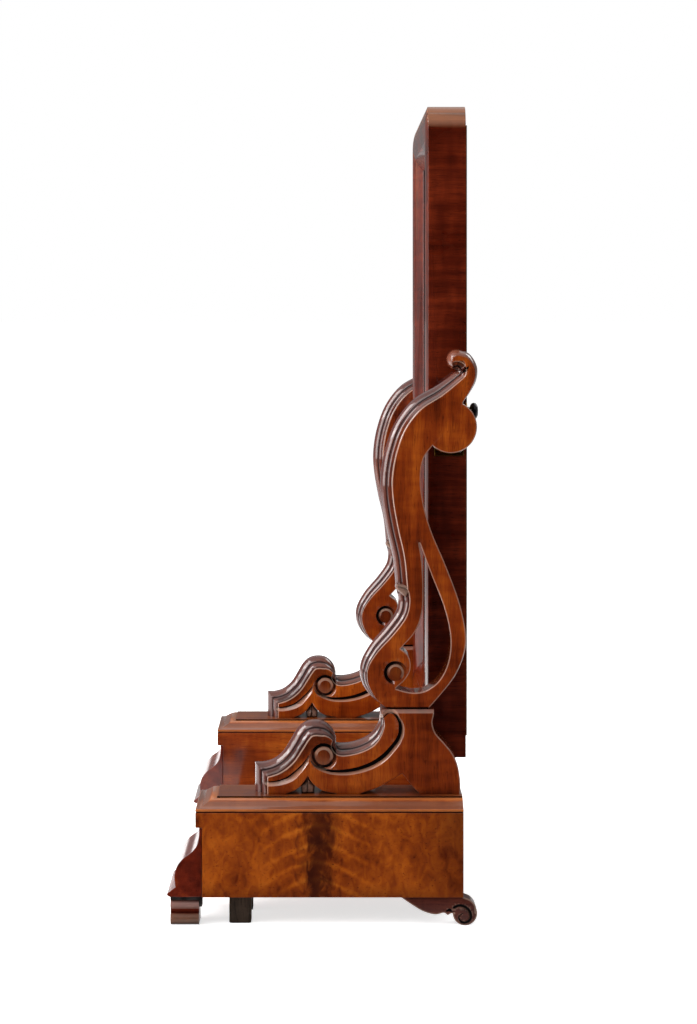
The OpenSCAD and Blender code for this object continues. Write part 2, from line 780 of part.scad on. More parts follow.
left() bracket();  // bracket_left
upright();  // upright_right
left() upright();  // upright_left
dowels();  // dowels_right
left() dowels();  // dowels_left
spindle();  // spindle_right
left() spindle();  // spindle_left
stile();  // stile_right
left() stile();  // stile_left
rail(mirror_z + mirror_h, false);  // top_rail
rail(mirror_z, true);  // bottom_rail
slip();
mirror_glass();
glass_blocks();
backboard();
backboard_screws();
pivot_plate();  // pivot_plate_right
left() pivot_plate();  // pivot_plate_left
plate_screws();  // plate_screws_right
left() plate_screws();  // plate_screws_left
pivot_bush();  // pivot_bush_right
left() pivot_bush();  // pivot_bush_left
clamp_insert();  // clamp_insert_right
left() clamp_insert();  // clamp_insert_left
clamp_plunger();  // clamp_plunger_right
left() clamp_plunger();  // clamp_plunger_left
clamp_screw();  // clamp_screw_right
left() clamp_screw();  // clamp_screw_left
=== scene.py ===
import json
import math

import bmesh
import bpy
import numpy as np
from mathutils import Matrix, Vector
from mathutils.geometry import delaunay_2d_cdt


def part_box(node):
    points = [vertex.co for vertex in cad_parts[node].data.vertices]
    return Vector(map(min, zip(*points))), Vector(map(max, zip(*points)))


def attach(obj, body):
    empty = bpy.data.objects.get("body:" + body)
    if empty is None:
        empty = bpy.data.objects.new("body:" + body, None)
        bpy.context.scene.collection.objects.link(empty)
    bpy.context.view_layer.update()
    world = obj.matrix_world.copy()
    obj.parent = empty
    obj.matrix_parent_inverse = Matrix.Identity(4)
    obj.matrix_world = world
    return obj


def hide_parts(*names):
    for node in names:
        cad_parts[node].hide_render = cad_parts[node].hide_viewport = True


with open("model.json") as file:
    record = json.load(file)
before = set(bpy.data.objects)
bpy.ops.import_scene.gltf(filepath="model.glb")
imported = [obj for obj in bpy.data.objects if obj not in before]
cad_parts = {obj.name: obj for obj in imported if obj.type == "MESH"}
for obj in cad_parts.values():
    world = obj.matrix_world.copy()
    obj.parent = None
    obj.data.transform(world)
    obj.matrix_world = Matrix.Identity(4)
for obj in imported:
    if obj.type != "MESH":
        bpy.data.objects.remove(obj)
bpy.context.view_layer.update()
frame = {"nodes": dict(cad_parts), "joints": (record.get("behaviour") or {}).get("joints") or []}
mm = 0.001
nodes = frame["nodes"]
scene = bpy.context.scene
sides = {"right": 1, "left": -1}
weldDistance = 0.00001  # metres
print("frame loaded:", len(nodes), "nodes")


# corners of a node in millimetres
def boxOf(node):
    low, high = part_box(node)
    return [v / mm for v in low], [v / mm for v in high]


topZ = boxOf("box_top_right")[1][2]
standLow, standHigh = boxOf("upright_right")
armLow, armHigh = boxOf("bracket_right")
tilt = [j for j in frame["joints"] if j["name"] == "mirror_tilt"][0]
pivotY = tilt["pos_m"][1] / mm
columnZ = standLow[2]


# level, 2.6 m from the side of the right box, where a pixel of the photo is a millimetre
cameraSet = {"place": (2.900, 0.0093, 0.614), "focalPixels": 2600, "acrossPixels": 14.5, "upPixels": -200,
             "photoPixels": 1024, "film": 36, "farEnd": 400}


def setCamera():
    camera = bpy.data.objects.new("camera", bpy.data.cameras.new("camera"))
    pixels = cameraSet["photoPixels"]
    camera.data.lens = cameraSet["focalPixels"] * cameraSet["film"] / pixels
    camera.data.shift_x = cameraSet["acrossPixels"] / pixels
    camera.data.shift_y = cameraSet["upPixels"] / pixels
    camera.data.clip_end = cameraSet["farEnd"]
    camera.location = cameraSet["place"]
    camera.rotation_euler = (math.pi / 2, 0, math.pi / 2)
    scene.collection.objects.link(camera)
    scene.camera = camera


# colour from 0-255 screen values
def tone(*screen):
    return tuple(((c / 255 + 0.055) / 1.055) ** 2.4 if c > 10 else c / 255 / 12.92 for c in screen) + (1,)


def addNode(tree, kind, values=None, **settings):
    n = tree.nodes.new("ShaderNode" + kind)
    for key, value in settings.items():
        setattr(n, key, value)
    for key, value in (values or {}).items():
        socket = n.inputs[key]
        if isinstance(value, bpy.types.NodeSocket):
            tree.links.new(value, socket)
        else:
            socket.default_value = value
    return n


def mathNode(tree, operation, *values):
    return addNode(tree, "Math", dict(enumerate(values)), operation=operation).outputs[0]


def mixTones(tree, share, a, b):
    return addNode(tree, "Mix", {0: share, 6: a, 7: b}, data_type="RGBA").outputs[2]


def ramp(tree, value, stops):
    n = addNode(tree, "ValToRGB", {0: value})
    while len(n.color_ramp.elements) < len(stops):
        n.color_ramp.elements.new(0.5)
    for element, (place, colour) in zip(n.color_ramp.elements, stops):
        element.position = place
        element.color = colour if isinstance(colour, tuple) else (colour, colour, colour, 1)
    return n.outputs[0]


def spread(tree, value, low, high, a=0.0, b=1.0):
    return addNode(tree, "MapRange", {0: value, 1: low, 2: high, 3: a, 4: b}).outputs[0]


def whereOn(tree, kind="Object"):
    return addNode(tree, "TexCoord").outputs[kind]


def partsOf(tree, vector):
    return addNode(tree, "SeparateXYZ", {0: vector}).outputs


def stretch(tree, vector, scale):
    return addNode(tree, "Mapping", {"Vector": vector, "Scale": scale}).outputs[0]


def vectorNode(tree, operation, a, b):
    return addNode(tree, "VectorMath", {0: a, 1: b}, operation=operation).outputs[0]


def noise(tree, vector, scale, detail, output=0, **more):
    values = {"Vector": vector, "Scale": scale, "Detail": detail}
    return addNode(tree, "TexNoise", {**values, **more}).outputs[output]


def newMaterial(name, **values):
    material = bpy.data.materials.new(name)
    material.use_nodes = True
    tree = material.node_tree
    shader = tree.nodes["Principled BSDF"]
    for key, value in values.items():
        shader.inputs[key].default_value = value
    return material, tree, shader


def cameraSees(tree):
    path = addNode(tree, "LightPath").outputs
    seen = mathNode(tree, "ADD", path["Is Camera Ray"], path["Is Glossy Ray"])
    return mathNode(tree, "MINIMUM", mathNode(tree, "ADD", seen, path["Is Transmission Ray"]), 1.0)


# what a polished side mirrors: how dim it is past two distances, each a start, an end and a strength
def sideDim(tree, distance, near, far):
    glossy = addNode(tree, "LightPath").outputs["Is Glossy Ray"]
    dims = [spread(tree, distance, start, end, 0.0, strong) for start, end, strong in (near, far)]
    dim = mathNode(tree, "MAXIMUM", *dims)
    return mathNode(tree, "SUBTRACT", 1.0, mathNode(tree, "MULTIPLY", dim, glossy))


# in metres, with the tones as shares of white
floorSet = {"size": 300, "speckle": 3.0, "pale": (0.8, 0.82), "glow": 0.68,
            "nearDim": (0.28, 0.42, 1.0), "farDim": (-1.2, -2.5, 0.6)}


def setFloor():
    bpy.ops.mesh.primitive_plane_add(size=floorSet["size"])
    floor = bpy.context.object
    floor.name = "floor"
    material, tree, shader = newMaterial("floor", Roughness=0.9)
    where = whereOn(tree)
    speckle = noise(tree, where, floorSet["speckle"], 4.0)
    across = partsOf(tree, where)["X"]
    bright = sideDim(tree, across, floorSet["nearDim"], floorSet["farDim"])
    pale = ramp(tree, speckle, list(zip((0.3, 0.7), floorSet["pale"])))
    tree.links.new(mixTones(tree, bright, (0, 0, 0, 1), pale), shader.inputs["Base Color"])
    shader.inputs["Specular IOR Level"].default_value = 0.0
    shader.inputs["Emission Color"].default_value = (1, 1, 1, 1)
    glow = mathNode(tree, "MULTIPLY", mathNode(tree, "MULTIPLY", cameraSees(tree), floorSet["glow"]), bright)
    tree.links.new(glow, shader.inputs["Emission Strength"])
    floor.data.materials.append(material)


# white to the camera, softer as light, and dim to both sides in what a polished side mirrors
worldSet = {"asLight": 0.45, "above": (0.3, 0.6), "nearDim": (0.1, 0.5, 1.0), "farDim": (-0.15, -0.6, 0.8)}


def setWorld():
    world = bpy.data.worlds.new("studio")
    scene.world = world
    world.use_nodes = True
    tree = world.node_tree
    way = partsOf(tree, whereOn(tree, "Generated"))
    above = spread(tree, way["Z"], *worldSet["above"])
    ground = tree.nodes["Background"]
    ground.inputs["Color"].default_value = (1, 1, 1, 1)
    side = sideDim(tree, way["X"], worldSet["nearDim"], worldSet["farDim"])
    bright = mathNode(tree, "MULTIPLY", spread(tree, cameraSees(tree), 0, 1, worldSet["asLight"], 1.0),
                      mathNode(tree, "MAXIMUM", above, side))
    tree.links.new(bright, ground.inputs["Strength"])


# place, target, width and height in metres, and watts
lamps = {
    "lampFront": ((0.4, -2.2, 1.9), (0, 0, 0.35), (2.0, 1.4), 90),
    "lampLow": ((0.9, -2.6, 0.9), (0, 0, 0.4), (1.8, 1.4), 55),
    "lampSide": ((2.4, -1.4, 2.6), (0.2, 0, 0.35), (1.6, 1.6), 26),
    "lampBack": ((-1.6, 1.8, 2.2), (0, 0, 0.4), (1.6, 1.2), 30),
}


def addLamp(name, place, target, size, power):
    lamp = bpy.data.objects.new(name, bpy.data.lights.new(name, "AREA"))
    lamp.data.shape = "RECTANGLE"
    lamp.data.size, lamp.data.size_y = size
    lamp.data.energy = power
    lamp.location = place
    aim = Vector(target) - Vector(place)
    lamp.rotation_euler = aim.to_track_quat("-Z", "Y").to_euler()
    scene.collection.objects.link(lamp)


setCamera()
setFloor()
setWorld()
for name, values in lamps.items():
    addLamp(name, *values)
scene.view_settings.view_transform = "Standard"
print("camera, floor and lamps set")


# painted light on the carved pieces, from 0 to 1, which the materials read: painted shade (with the dark
# patina of the grooves), painted highlight on the edges and a painted reflection on the reeds
markNames = ("hollow", "edge", "reed")
axisSpin = {"X": (0, math.pi / 2, 0), "Y": (math.pi / 2, 0, 0), "Z": (0, 0, 0)}

# what all the woods share: carving tones, painted shade with dirt in the crevices, polish and a fine grain to
# the touch
polish = {"shadeAndDirt": tone(11, 6, 6), "creviceDepth": 0.007, "reedShare": 0.75, "highlightShare": 0.34,
          "bareShine": 0.05, "coatRoughness": 0.08, "touchStrength": 0.12, "touchHeight": 0.0004}


def finishWood(tree, shader, colour, fine, patches, gloss, coat, reedTone, paintedHighlightTone):
    marks = {key: addNode(tree, "Attribute", attribute_name=key).outputs["Fac"] for key in markNames}
    # the reeds take a painted reflection tone
    colour = mixTones(tree, mathNode(tree, "MULTIPLY", marks["reed"], polish["reedShare"]), colour, reedTone)
    # painted shade in the crevices, from how closed in each point is, but not on the painted highlights
    creviceShade = addNode(tree, "AmbientOcclusion", {"Distance": polish["creviceDepth"]}, samples=6).outputs["AO"]
    creviceShade = spread(tree, creviceShade, 0.3, 0.85, 0.6, 0.0)
    creviceShade = mathNode(tree, "MULTIPLY", creviceShade, mathNode(tree, "SUBTRACT", 1.0, marks["edge"]))
    shadeAndDirt = mathNode(tree, "MAXIMUM", marks["hollow"], creviceShade)
    colour = mixTones(tree, shadeAndDirt, colour, polish["shadeAndDirt"])
    # painted highlights along the edges
    colour = mixTones(tree, mathNode(tree, "MULTIPLY", marks["edge"], polish["highlightShare"]), colour, paintedHighlightTone)
    tree.links.new(colour, shader.inputs["Base Color"])
    tree.links.new(spread(tree, patches, 0.3, 0.7, gloss - 0.06, gloss + 0.1), shader.inputs["Roughness"])
    shader.inputs["Specular IOR Level"].default_value = polish["bareShine"]
    # the coat thins where the painted shade and dirt lie
    if coat:  # no polish on dirt
        tree.links.new(spread(tree, shadeAndDirt, 0.2, 0.8, coat, 0.1 * coat), shader.inputs["Coat Weight"])
    shader.inputs["Coat Roughness"].default_value = polish["coatRoughness"]
    bump = addNode(tree, "Bump", {"Strength": polish["touchStrength"], "Distance": polish["touchHeight"],
                                  "Height": fine}).outputs[0]
    tree.links.new(bump, shader.inputs["Normal"])


# noise per metre across, across and along the grain, and where painted top light makes the frame lighter
grain = {"bands": (130, 130, 5), "streaks": (1500, 1500, 60), "ribbon": (22, 22, 120),
         "flecks": (420, 420, 160), "waves": 9.0, "sway": 0.012, "broad": 16.0, "toplightAbove": 0.7,
         "paintedToplight": tone(166, 108, 72)}
bandTop = 30  # millimetres that the tones at heights are spread over


# wood with its grain along one axis: tones dark, middle and light. Banded wood runs the other way
# at its edges, and painted bands are rows of millimetres and tone: painted light and shade by height.
# The reed reflection tone and the highlight tone are painted light for the carved marks
def woodMaterial(name, axis, tones, shift=0.0, figure=0.4, pores=0.5, gloss=0.36, coat=0.7,
                 reedTone=tone(58, 30, 30), paintedHighlightTone=tone(196, 168, 148), banded=False, paintedBands=()):
    material, tree, shader = newMaterial(name)
    where = whereOn(tree)
    place = (shift, shift * 0.7, shift * 0.3)

    def turned(way):
        return addNode(tree, "Mapping", {"Vector": where, "Location": place,
                                         "Rotation": axisSpin[way]}).outputs[0]

    laid = turned(axis)
    if banded:
        facing = partsOf(tree, whereOn(tree, "Normal"))
        edgeOn = mathNode(tree, "LESS_THAN", mathNode(tree, "ABSOLUTE", facing["Y"]), 0.7)
        laid = addNode(tree, "Mix", {0: edgeOn, 4: laid, 5: turned("Y")}, data_type="VECTOR").outputs[1]
    waves = noise(tree, laid, grain["waves"], 2.0, "Color")
    bent = vectorNode(tree, "MULTIPLY", waves, (grain["sway"],) * 3)
    bent = vectorNode(tree, "ADD", laid, bent)

    def grainNoise(part, detail=2.0):
        stretched = stretch(tree, bent, grain[part])
        return noise(tree, stretched, 1.0, detail)

    bands = grainNoise("bands", 5.0)
    streaks = grainNoise("streaks")
    ribbon = grainNoise("ribbon")
    flecks = grainNoise("flecks")
    broad = noise(tree, laid, grain["broad"], 3.0)
    value = mathNode(tree, "MULTIPLY_ADD", spread(tree, broad, 0.3, 0.7), figure,
                     mathNode(tree, "MULTIPLY", bands, 1 - figure))
    value = mathNode(tree, "MULTIPLY_ADD", mathNode(tree, "SUBTRACT", ribbon, 0.5), 0.3, value)
    colour = ramp(tree, value, [(0.2, tones[0]), (0.48, tones[1]), (0.8, tones[2])])
    deep = tuple(0.3 * c for c in tones[0][:3]) + (1,)
    colour = mixTones(tree, spread(tree, streaks, 0.5, 0.7, 0.0, pores), colour, deep)
    colour = mixTones(tree, spread(tree, flecks, 0.64, 0.76, 0.0, pores), colour, deep)
    if banded:  # painted top light: faces that look up, high on the frame, lighter tan
        up = partsOf(tree, where)["Z"]
        top = mathNode(tree, "GREATER_THAN", up, grain["toplightAbove"])
        paintedToplight = mathNode(tree, "MULTIPLY", spread(tree, facing["Z"], 0.04, 0.4, 0.0, 0.5), top)
        colour = mixTones(tree, paintedToplight, colour, grain["paintedToplight"])
    # painted highlight and shade in bands by height, laid over the grain
    if paintedBands:
        up = partsOf(tree, where)["Z"]
        up = mathNode(tree, "MULTIPLY", up, 1 / (bandTop * mm))
        colour = mixTones(tree, 0.7, colour, ramp(tree, up, [(z / bandTop, shade) for z, shade in paintedBands]))
    finishWood(tree, shader, colour, streaks, broad, gloss, coat, reedTone, paintedHighlightTone)
    return material


# flame veneer on the sides of the boxes, in metres: bowed light stripes on both sides of a dark plume,
# which stands a little before the middle
flame = {"plumeForward": 0.006, "bow": 0.0004, "slope": 0.62, "stripePitch": 0.018,
         "stripeReach": (0.018, 0.07), "plume": (0.005, 0.024), "rearDark": (0.085, 0.135),
         "lowDark": (0.028, 0.044),
         "tones": [(0.32, tone(74, 24, 4)), (0.44, tone(116, 48, 6)), (0.55, tone(142, 66, 8)),
                   (0.78, tone(172, 92, 20))],
         "dark": tone(44, 10, 3), "specks": tone(44, 14, 4), "reed": tone(60, 24, 16),
         "edge": tone(196, 160, 120)}


def veneerMaterial(name):
    material, tree, shader = newMaterial(name)
    where = whereOn(tree)
    warp = noise(tree, where, 17.0, 3.0, "Color")
    warp = vectorNode(tree, "SUBTRACT", warp, (0.5, 0.5, 0.5))
    warp = vectorNode(tree, "MULTIPLY", warp, (0, 0.018, 0.012))
    bent = vectorNode(tree, "ADD", where, warp)
    bent = partsOf(tree, bent)
    straight = partsOf(tree, where)
    off = mathNode(tree, "ADD", bent["Y"], flame["plumeForward"])
    bow = mathNode(tree, "SQRT", mathNode(tree, "MULTIPLY_ADD", off, off, flame["bow"]))
    turn = mathNode(tree, "MULTIPLY_ADD", bow, flame["slope"], bent["Z"])
    turn = mathNode(tree, "MULTIPLY", turn, 2 * math.pi / flame["stripePitch"])
    stripe = mathNode(tree, "POWER", spread(tree, mathNode(tree, "SINE", turn), -1, 1), 5.0)
    near = spread(tree, mathNode(tree, "ABSOLUTE", off), *flame["stripeReach"], 1.0, 0.0)
    broad = noise(tree, where, 20.0, 5.0)
    curl = stretch(tree, where, (70, 120, 75))
    curl = noise(tree, curl, 1.0, 5.0, Distortion=0.8)
    value = mathNode(tree, "MULTIPLY_ADD", mathNode(tree, "MULTIPLY", stripe, near), 0.16,
                     mathNode(tree, "MULTIPLY_ADD", broad, 0.55, mathNode(tree, "MULTIPLY", curl, 0.4)))
    colour = ramp(tree, value, flame["tones"])
    ragged = mathNode(tree, "MULTIPLY_ADD", mathNode(tree, "SUBTRACT", curl, 0.5), 0.035,
                      mathNode(tree, "ABSOLUTE", off))
    plume = spread(tree, ragged, *flame["plume"], 1.0, 0.0)
    ends = spread(tree, straight["Y"], *flame["rearDark"], 0.0, 0.6)
    ends = mathNode(tree, "MAXIMUM", ends, spread(tree, straight["Z"], *flame["lowDark"], 0.5, 0.0))
    shade = mathNode(tree, "MAXIMUM", plume, ends)
    shade = mathNode(tree, "MULTIPLY", shade, spread(tree, broad, 0.3, 0.6, 0.6, 1.0))
    colour = mixTones(tree, shade, colour, flame["dark"])
    specks = stretch(tree, where, (500, 320, 560))
    specks = noise(tree, specks, 1.0, 3.0)
    colour = mixTones(tree, spread(tree, specks, 0.6, 0.72, 0.0, 0.7), colour, flame["specks"])
    finishWood(tree, shader, colour, specks, broad, 0.36, 0.7, flame["reed"], flame["edge"])
    return material


# turned or sheet metal with fine scratches and dull patches
def metalMaterial(name, bright, dull, roughness):
    material, tree, shader = newMaterial(name, Metallic=1.0)
    where = whereOn(tree)
    patches = noise(tree, where, 90.0, 6.0)
    marks = stretch(tree, where, (300, 2500, 300))
    lines = noise(tree, marks, 1.0, 2.0)
    tree.links.new(ramp(tree, patches, [(0.35, dull), (0.62, bright)]), shader.inputs["Base Color"])
    tree.links.new(spread(tree, patches, 0.3, 0.7, roughness + 0.15, roughness), shader.inputs["Roughness"])
    bump = addNode(tree, "Bump", {"Strength": 0.15, "Distance": 0.0002, "Height": lines}).outputs[0]
    tree.links.new(bump, shader.inputs["Normal"])
    return material


# dark, middle and light tones of the woods
carvedTones = (tone(64, 17, 3), tone(114, 42, 6), tone(154, 72, 14))
redTones = (tone(54, 12, 5), tone(92, 26, 9), tone(130, 52, 18))
frameTones = (tone(42, 8, 3), tone(72, 18, 5), tone(108, 36, 12))
deepTones = (tone(74, 24, 8), tone(122, 50, 14), tone(160, 82, 24))
paleTones = (tone(126, 84, 44), tone(166, 122, 72), tone(190, 150, 98))
agedTones = (tone(70, 44, 25), tone(108, 72, 42), tone(138, 98, 60))
mouldingTones = (tone(84, 32, 10), tone(126, 56, 16), tone(160, 84, 32))
footTones = (tone(34, 10, 6), tone(62, 22, 14), tone(88, 38, 24))
blockTones = (tone(30, 24, 20), tone(52, 42, 35), tone(72, 58, 48))
# a painted reflection of the sky on the mouldings' coves and a painted highlight on their arrises
skyReflectionTone, arrisHighlightTone = tone(104, 66, 50), tone(196, 122, 68)
# painted light and shade on the front foot's roll, seen end-on: millimetres above the floor and tone
footLightBands = [(0, tone(92, 76, 62)), (11, tone(84, 68, 56)), (11.6, tone(70, 16, 6)), (15.8, tone(84, 26, 12)),
             (16.4, tone(118, 92, 84)), (22, tone(128, 104, 98)), (25.6, tone(92, 60, 52))]
materials = {
    "footWood": woodMaterial("scrollFootWood", "Y", footTones, 0.15, gloss=0.5, coat=0.35,
                             reedTone=tone(40, 22, 20)),
    "frontFootWood": woodMaterial("frontFootWood", "X", redTones, 0.15, gloss=0.5, coat=0.3,
                                  paintedBands=footLightBands),
    "carved_mahogany": woodMaterial("carvedWood", "Z", carvedTones, coat=0.9),
    "mahoganyX": woodMaterial("mahoganyX", "X", deepTones, 0.3),
    "mahoganyY": woodMaterial("mahoganyY", "Y", deepTones, 0.6),
    "drawer_front": woodMaterial("drawerFrontWood", "X", redTones, 0.2),
    "frameZ": woodMaterial("frameWoodZ", "Z", frameTones, 0.4, gloss=0.3, banded=True, figure=0.3),
    "frameX": woodMaterial("frameWoodX", "X", frameTones, 0.5, gloss=0.3, banded=True, figure=0.3),
    "drawer_lining": woodMaterial("liningWood", "Y", paleTones, 0.1, gloss=0.6, coat=0.0),
    "secondary_wood": woodMaterial("secondaryWood", "X", agedTones, 0.7, gloss=0.65, coat=0.0),
    "backboard_wood": woodMaterial("backboardWood", "Z", agedTones, 0.8, figure=0.2, gloss=0.65, coat=0.0),
    "block_wood": woodMaterial("blockWood", "Z", blockTones, 0.2, gloss=0.6, coat=0.0),
    "mouldingY": woodMaterial("mouldingWoodY", "Y", mouldingTones, 0.45, reedTone=skyReflectionTone, paintedHighlightTone=arrisHighlightTone),
    "mouldingX": woodMaterial("mouldingWoodX", "X", mouldingTones, 0.35, reedTone=skyReflectionTone, paintedHighlightTone=arrisHighlightTone),
    "veneer": veneerMaterial("flameVeneer"),
    "brass": metalMaterial("brass", tone(214, 170, 92), tone(140, 100, 50), 0.22),
    # brass of the pivot plate and its screws, painted dark as the shade of the boss falls on it, with tarnish
    "shadedTarnishedBrass": metalMaterial("shadedTarnishedBrass", tone(150, 116, 48), tone(24, 20, 14), 0.35),
    "iron": metalMaterial("iron", tone(60, 56, 54), tone(28, 25, 24), 0.5),
    "dark_metal": metalMaterial("darkMetal", tone(40, 38, 40), tone(16, 15, 16), 0.25),
}
mirrorMaterial, mirrorTree, mirrorShader = newMaterial("silveredGlass", Metallic=1.0, Roughness=0.02)
mirrorShader.inputs["Coat Weight"].default_value = 1.0
silver = noise(mirrorTree, whereOn(mirrorTree), 6.0, 5.0)
mirrorTree.links.new(ramp(mirrorTree, silver, [(0.3, tone(212, 216, 214)), (0.7, tone(232, 236, 234))]),
                     mirrorShader.inputs["Base Color"])
materials["mirror"] = mirrorMaterial
print("materials made:", len(materials))


# a curve through points, here and below in millimetres
def smoothLine(points, steps=8):
    p = np.array(points, float)
    q = np.vstack([2 * p[0] - p[1], p, 2 * p[-1] - p[-2]])
    line = []
    for i in range(1, len(p)):
        a, b, c, d = q[i - 1:i + 3]
        for t in np.arange(steps) / steps:
            line.append((2 * b + (c - a) * t + (2 * a - 5 * b + 4 * c - d) * t * t
                         + (3 * b - a - 3 * c + d) * t ** 3) / 2)
    return np.array(line + [p[-1]])


def arcLine(centre, radius, start, end, steps=48):
    turn = np.radians(np.linspace(start, end, steps + 1))
    return np.array(centre) + radius * np.column_stack([np.cos(turn), np.sin(turn)])


# values at the shares of a line's length
def alongLine(line, stops):
    run = np.concatenate([[0], np.cumsum(np.linalg.norm(np.diff(line, axis=0), axis=1))])
    return np.interp(run / run[-1], [s for s, v in stops], [v for s, v in stops])


# least distance from each point to a line, as a share of the line's depth there: above 0 on the
# line's right, below 0 on its left
def reach(points, line, depth):
    a, ab = line[:-1], np.diff(line, axis=0)
    long = np.maximum((ab ** 2).sum(1), 1e-9)
    share = np.zeros(len(points))
    for s in range(0, len(points), 3000):
        p = points[s:s + 3000, None]
        t = np.clip(((p - a) * ab).sum(2) / long, 0, 1)
        off = p - a - t[..., None] * ab
        ratio = np.sqrt((off ** 2).sum(2)) / np.maximum(depth[:-1] + t * np.diff(depth), 0.05)
        rows, k = np.arange(len(p)), ratio.argmin(1)
        near = off[rows, k]
        left = ab[k, 0] * near[:, 1] - ab[k, 1] * near[:, 0] > 0
        share[s:s + 3000] = np.where(left, -ratio[rows, k], ratio[rows, k])
    return share


def inside(points, loop):
    x, y = points[:, 0], points[:, 1]
    result = np.zeros(len(points), bool)
    for (x1, y1), (x2, y2) in zip(loop, np.roll(loop, -1, axis=0)):
        if y1 != y2:
            result ^= ((y1 > y) != (y2 > y)) & (x < (x2 - x1) * (y - y1) / (y2 - y1) + x1)
    return result


# lines of one value over a grid, as points and the pairs that they join
def levelLines(field, origin, step, level):
    above = field > level
    count = above[:-1, :-1] * 1 + above[1:, :-1] + above[:-1, 1:] + above[1:, 1:]
    spots, pairs, index = [], [], {}
    for i, j in np.argwhere((count > 0) & (count < 4)):
        ends = []
        for i1, j1, i2, j2 in ((i, j, i + 1, j), (i + 1, j, i + 1, j + 1), (i, j + 1, i + 1, j + 1),
                               (i, j, i, j + 1)):
            if above[i1, j1] != above[i2, j2]:
                key = (i1, j1, i2, j2)
                if key not in index:
                    index[key] = len(spots)
                    t = (level - field[i1, j1]) / (field[i2, j2] - field[i1, j1])
                    spots.append(origin + step * np.array([i1 + t * (i2 - i1), j1 + t * (j2 - j1)]))
                ends.append(index[key])
        pairs += [(ends[k], ends[k + 1]) for k in range(0, len(ends) - 1, 2)]
    return spots, pairs


# edges of the carved pieces from the outline inwards, one row for each line: share of the depth,
# share of the half thickness, painted shade, painted highlight and how far the tone is a painted reed
# reflection
reeded = np.array([(0, 0, 0, 0, 1), (0.02, 0.1, 0, 0, 1), (0.06, 0.2, 0, 0, 1), (0.13, 0.3, 0, 0, 1),
                   (0.22, 0.38, 0, 0.1, 1), (0.33, 0.44, 0, 0.1, 1), (0.44, 0.48, 0.4, 0, 1),
                   (0.49, 0.49, 0.95, 0, 1), (0.52, 0.56, 0.9, 0, 1), (0.57, 0.66, 0.3, 0, 1),
                   (0.64, 0.74, 0, 0, 1), (0.73, 0.8, 0, 0.1, 1), (0.84, 0.84, 0.2, 0, 1),
                   (0.93, 0.86, 0.8, 0, 1), (0.95, 0.95, 0, 0.7, 0.5), (1, 1, 0, 1, 0), (1.05, 1, 0, 0, 0)])
# the coved reed: its cove painted dark as shade, where it faces away from the light
coved = np.vstack([reeded[:8], [
    (0.52, 0.66, 0.8, 0, 1), (0.56, 0.76, 0.6, 0, 0.8), (0.62, 0.81, 0.35, 0, 0.5), (0.7, 0.85, 0.3, 0, 0.4),
    (0.8, 0.88, 0.3, 0, 0.4), (0.9, 0.91, 0.5, 0, 0.6), (0.95, 0.94, 0, 0.7, 0.5), (1, 1, 0, 1, 0),
    (1.05, 1, 0, 0, 0)]])
rolled = np.array([(t, math.sqrt(1 - (1 - t) ** 2), 0, 0.15, 0.6) for t in
                   (0, 0.005, 0.02, 0.06, 0.12, 0.2, 0.32, 0.46, 0.62, 0.8)] + [(1, 1, 0, 0, 0)])
plain = np.array([(0, 0.96, 0, 0.15, 0), (0.4, 0.99, 0, 0.1, 0), (1, 1, 0, 0, 0)])
joint = np.array([(0, 0.9, 1, 0, 0), (0.6, 0.92, 1, 0, 0), (1, 1, 0.2, 0, 0), (1.2, 1, 0, 0, 0)])
sloped = np.array([(0, 0.86, 0, 0.2, 0.6), (0.3, 0.89, 0, 0.3, 0.6), (0.9, 0.96, 0, 0.5, 0.3),
                   (1, 1, 0, 0.5, 0), (1.2, 1, 0, 0, 0)])
eased = np.array([(0, 0.95, 0, 0.9, 0), (0.3, 0.985, 0, 0.9, 0), (1, 1, 0, 0.6, 0), (1.5, 1, 0, 0, 0)])


# grid in millimetres, how close points merge, how thin a rim is where both faces share its points,
# and how much of each mark the walls keep
relief = {"step": 1.0, "margin": 3, "loosePoints": 4, "merge": 0.03, "thinRim": 0.02,
          "wallMarks": (1, 0, 0.3)}


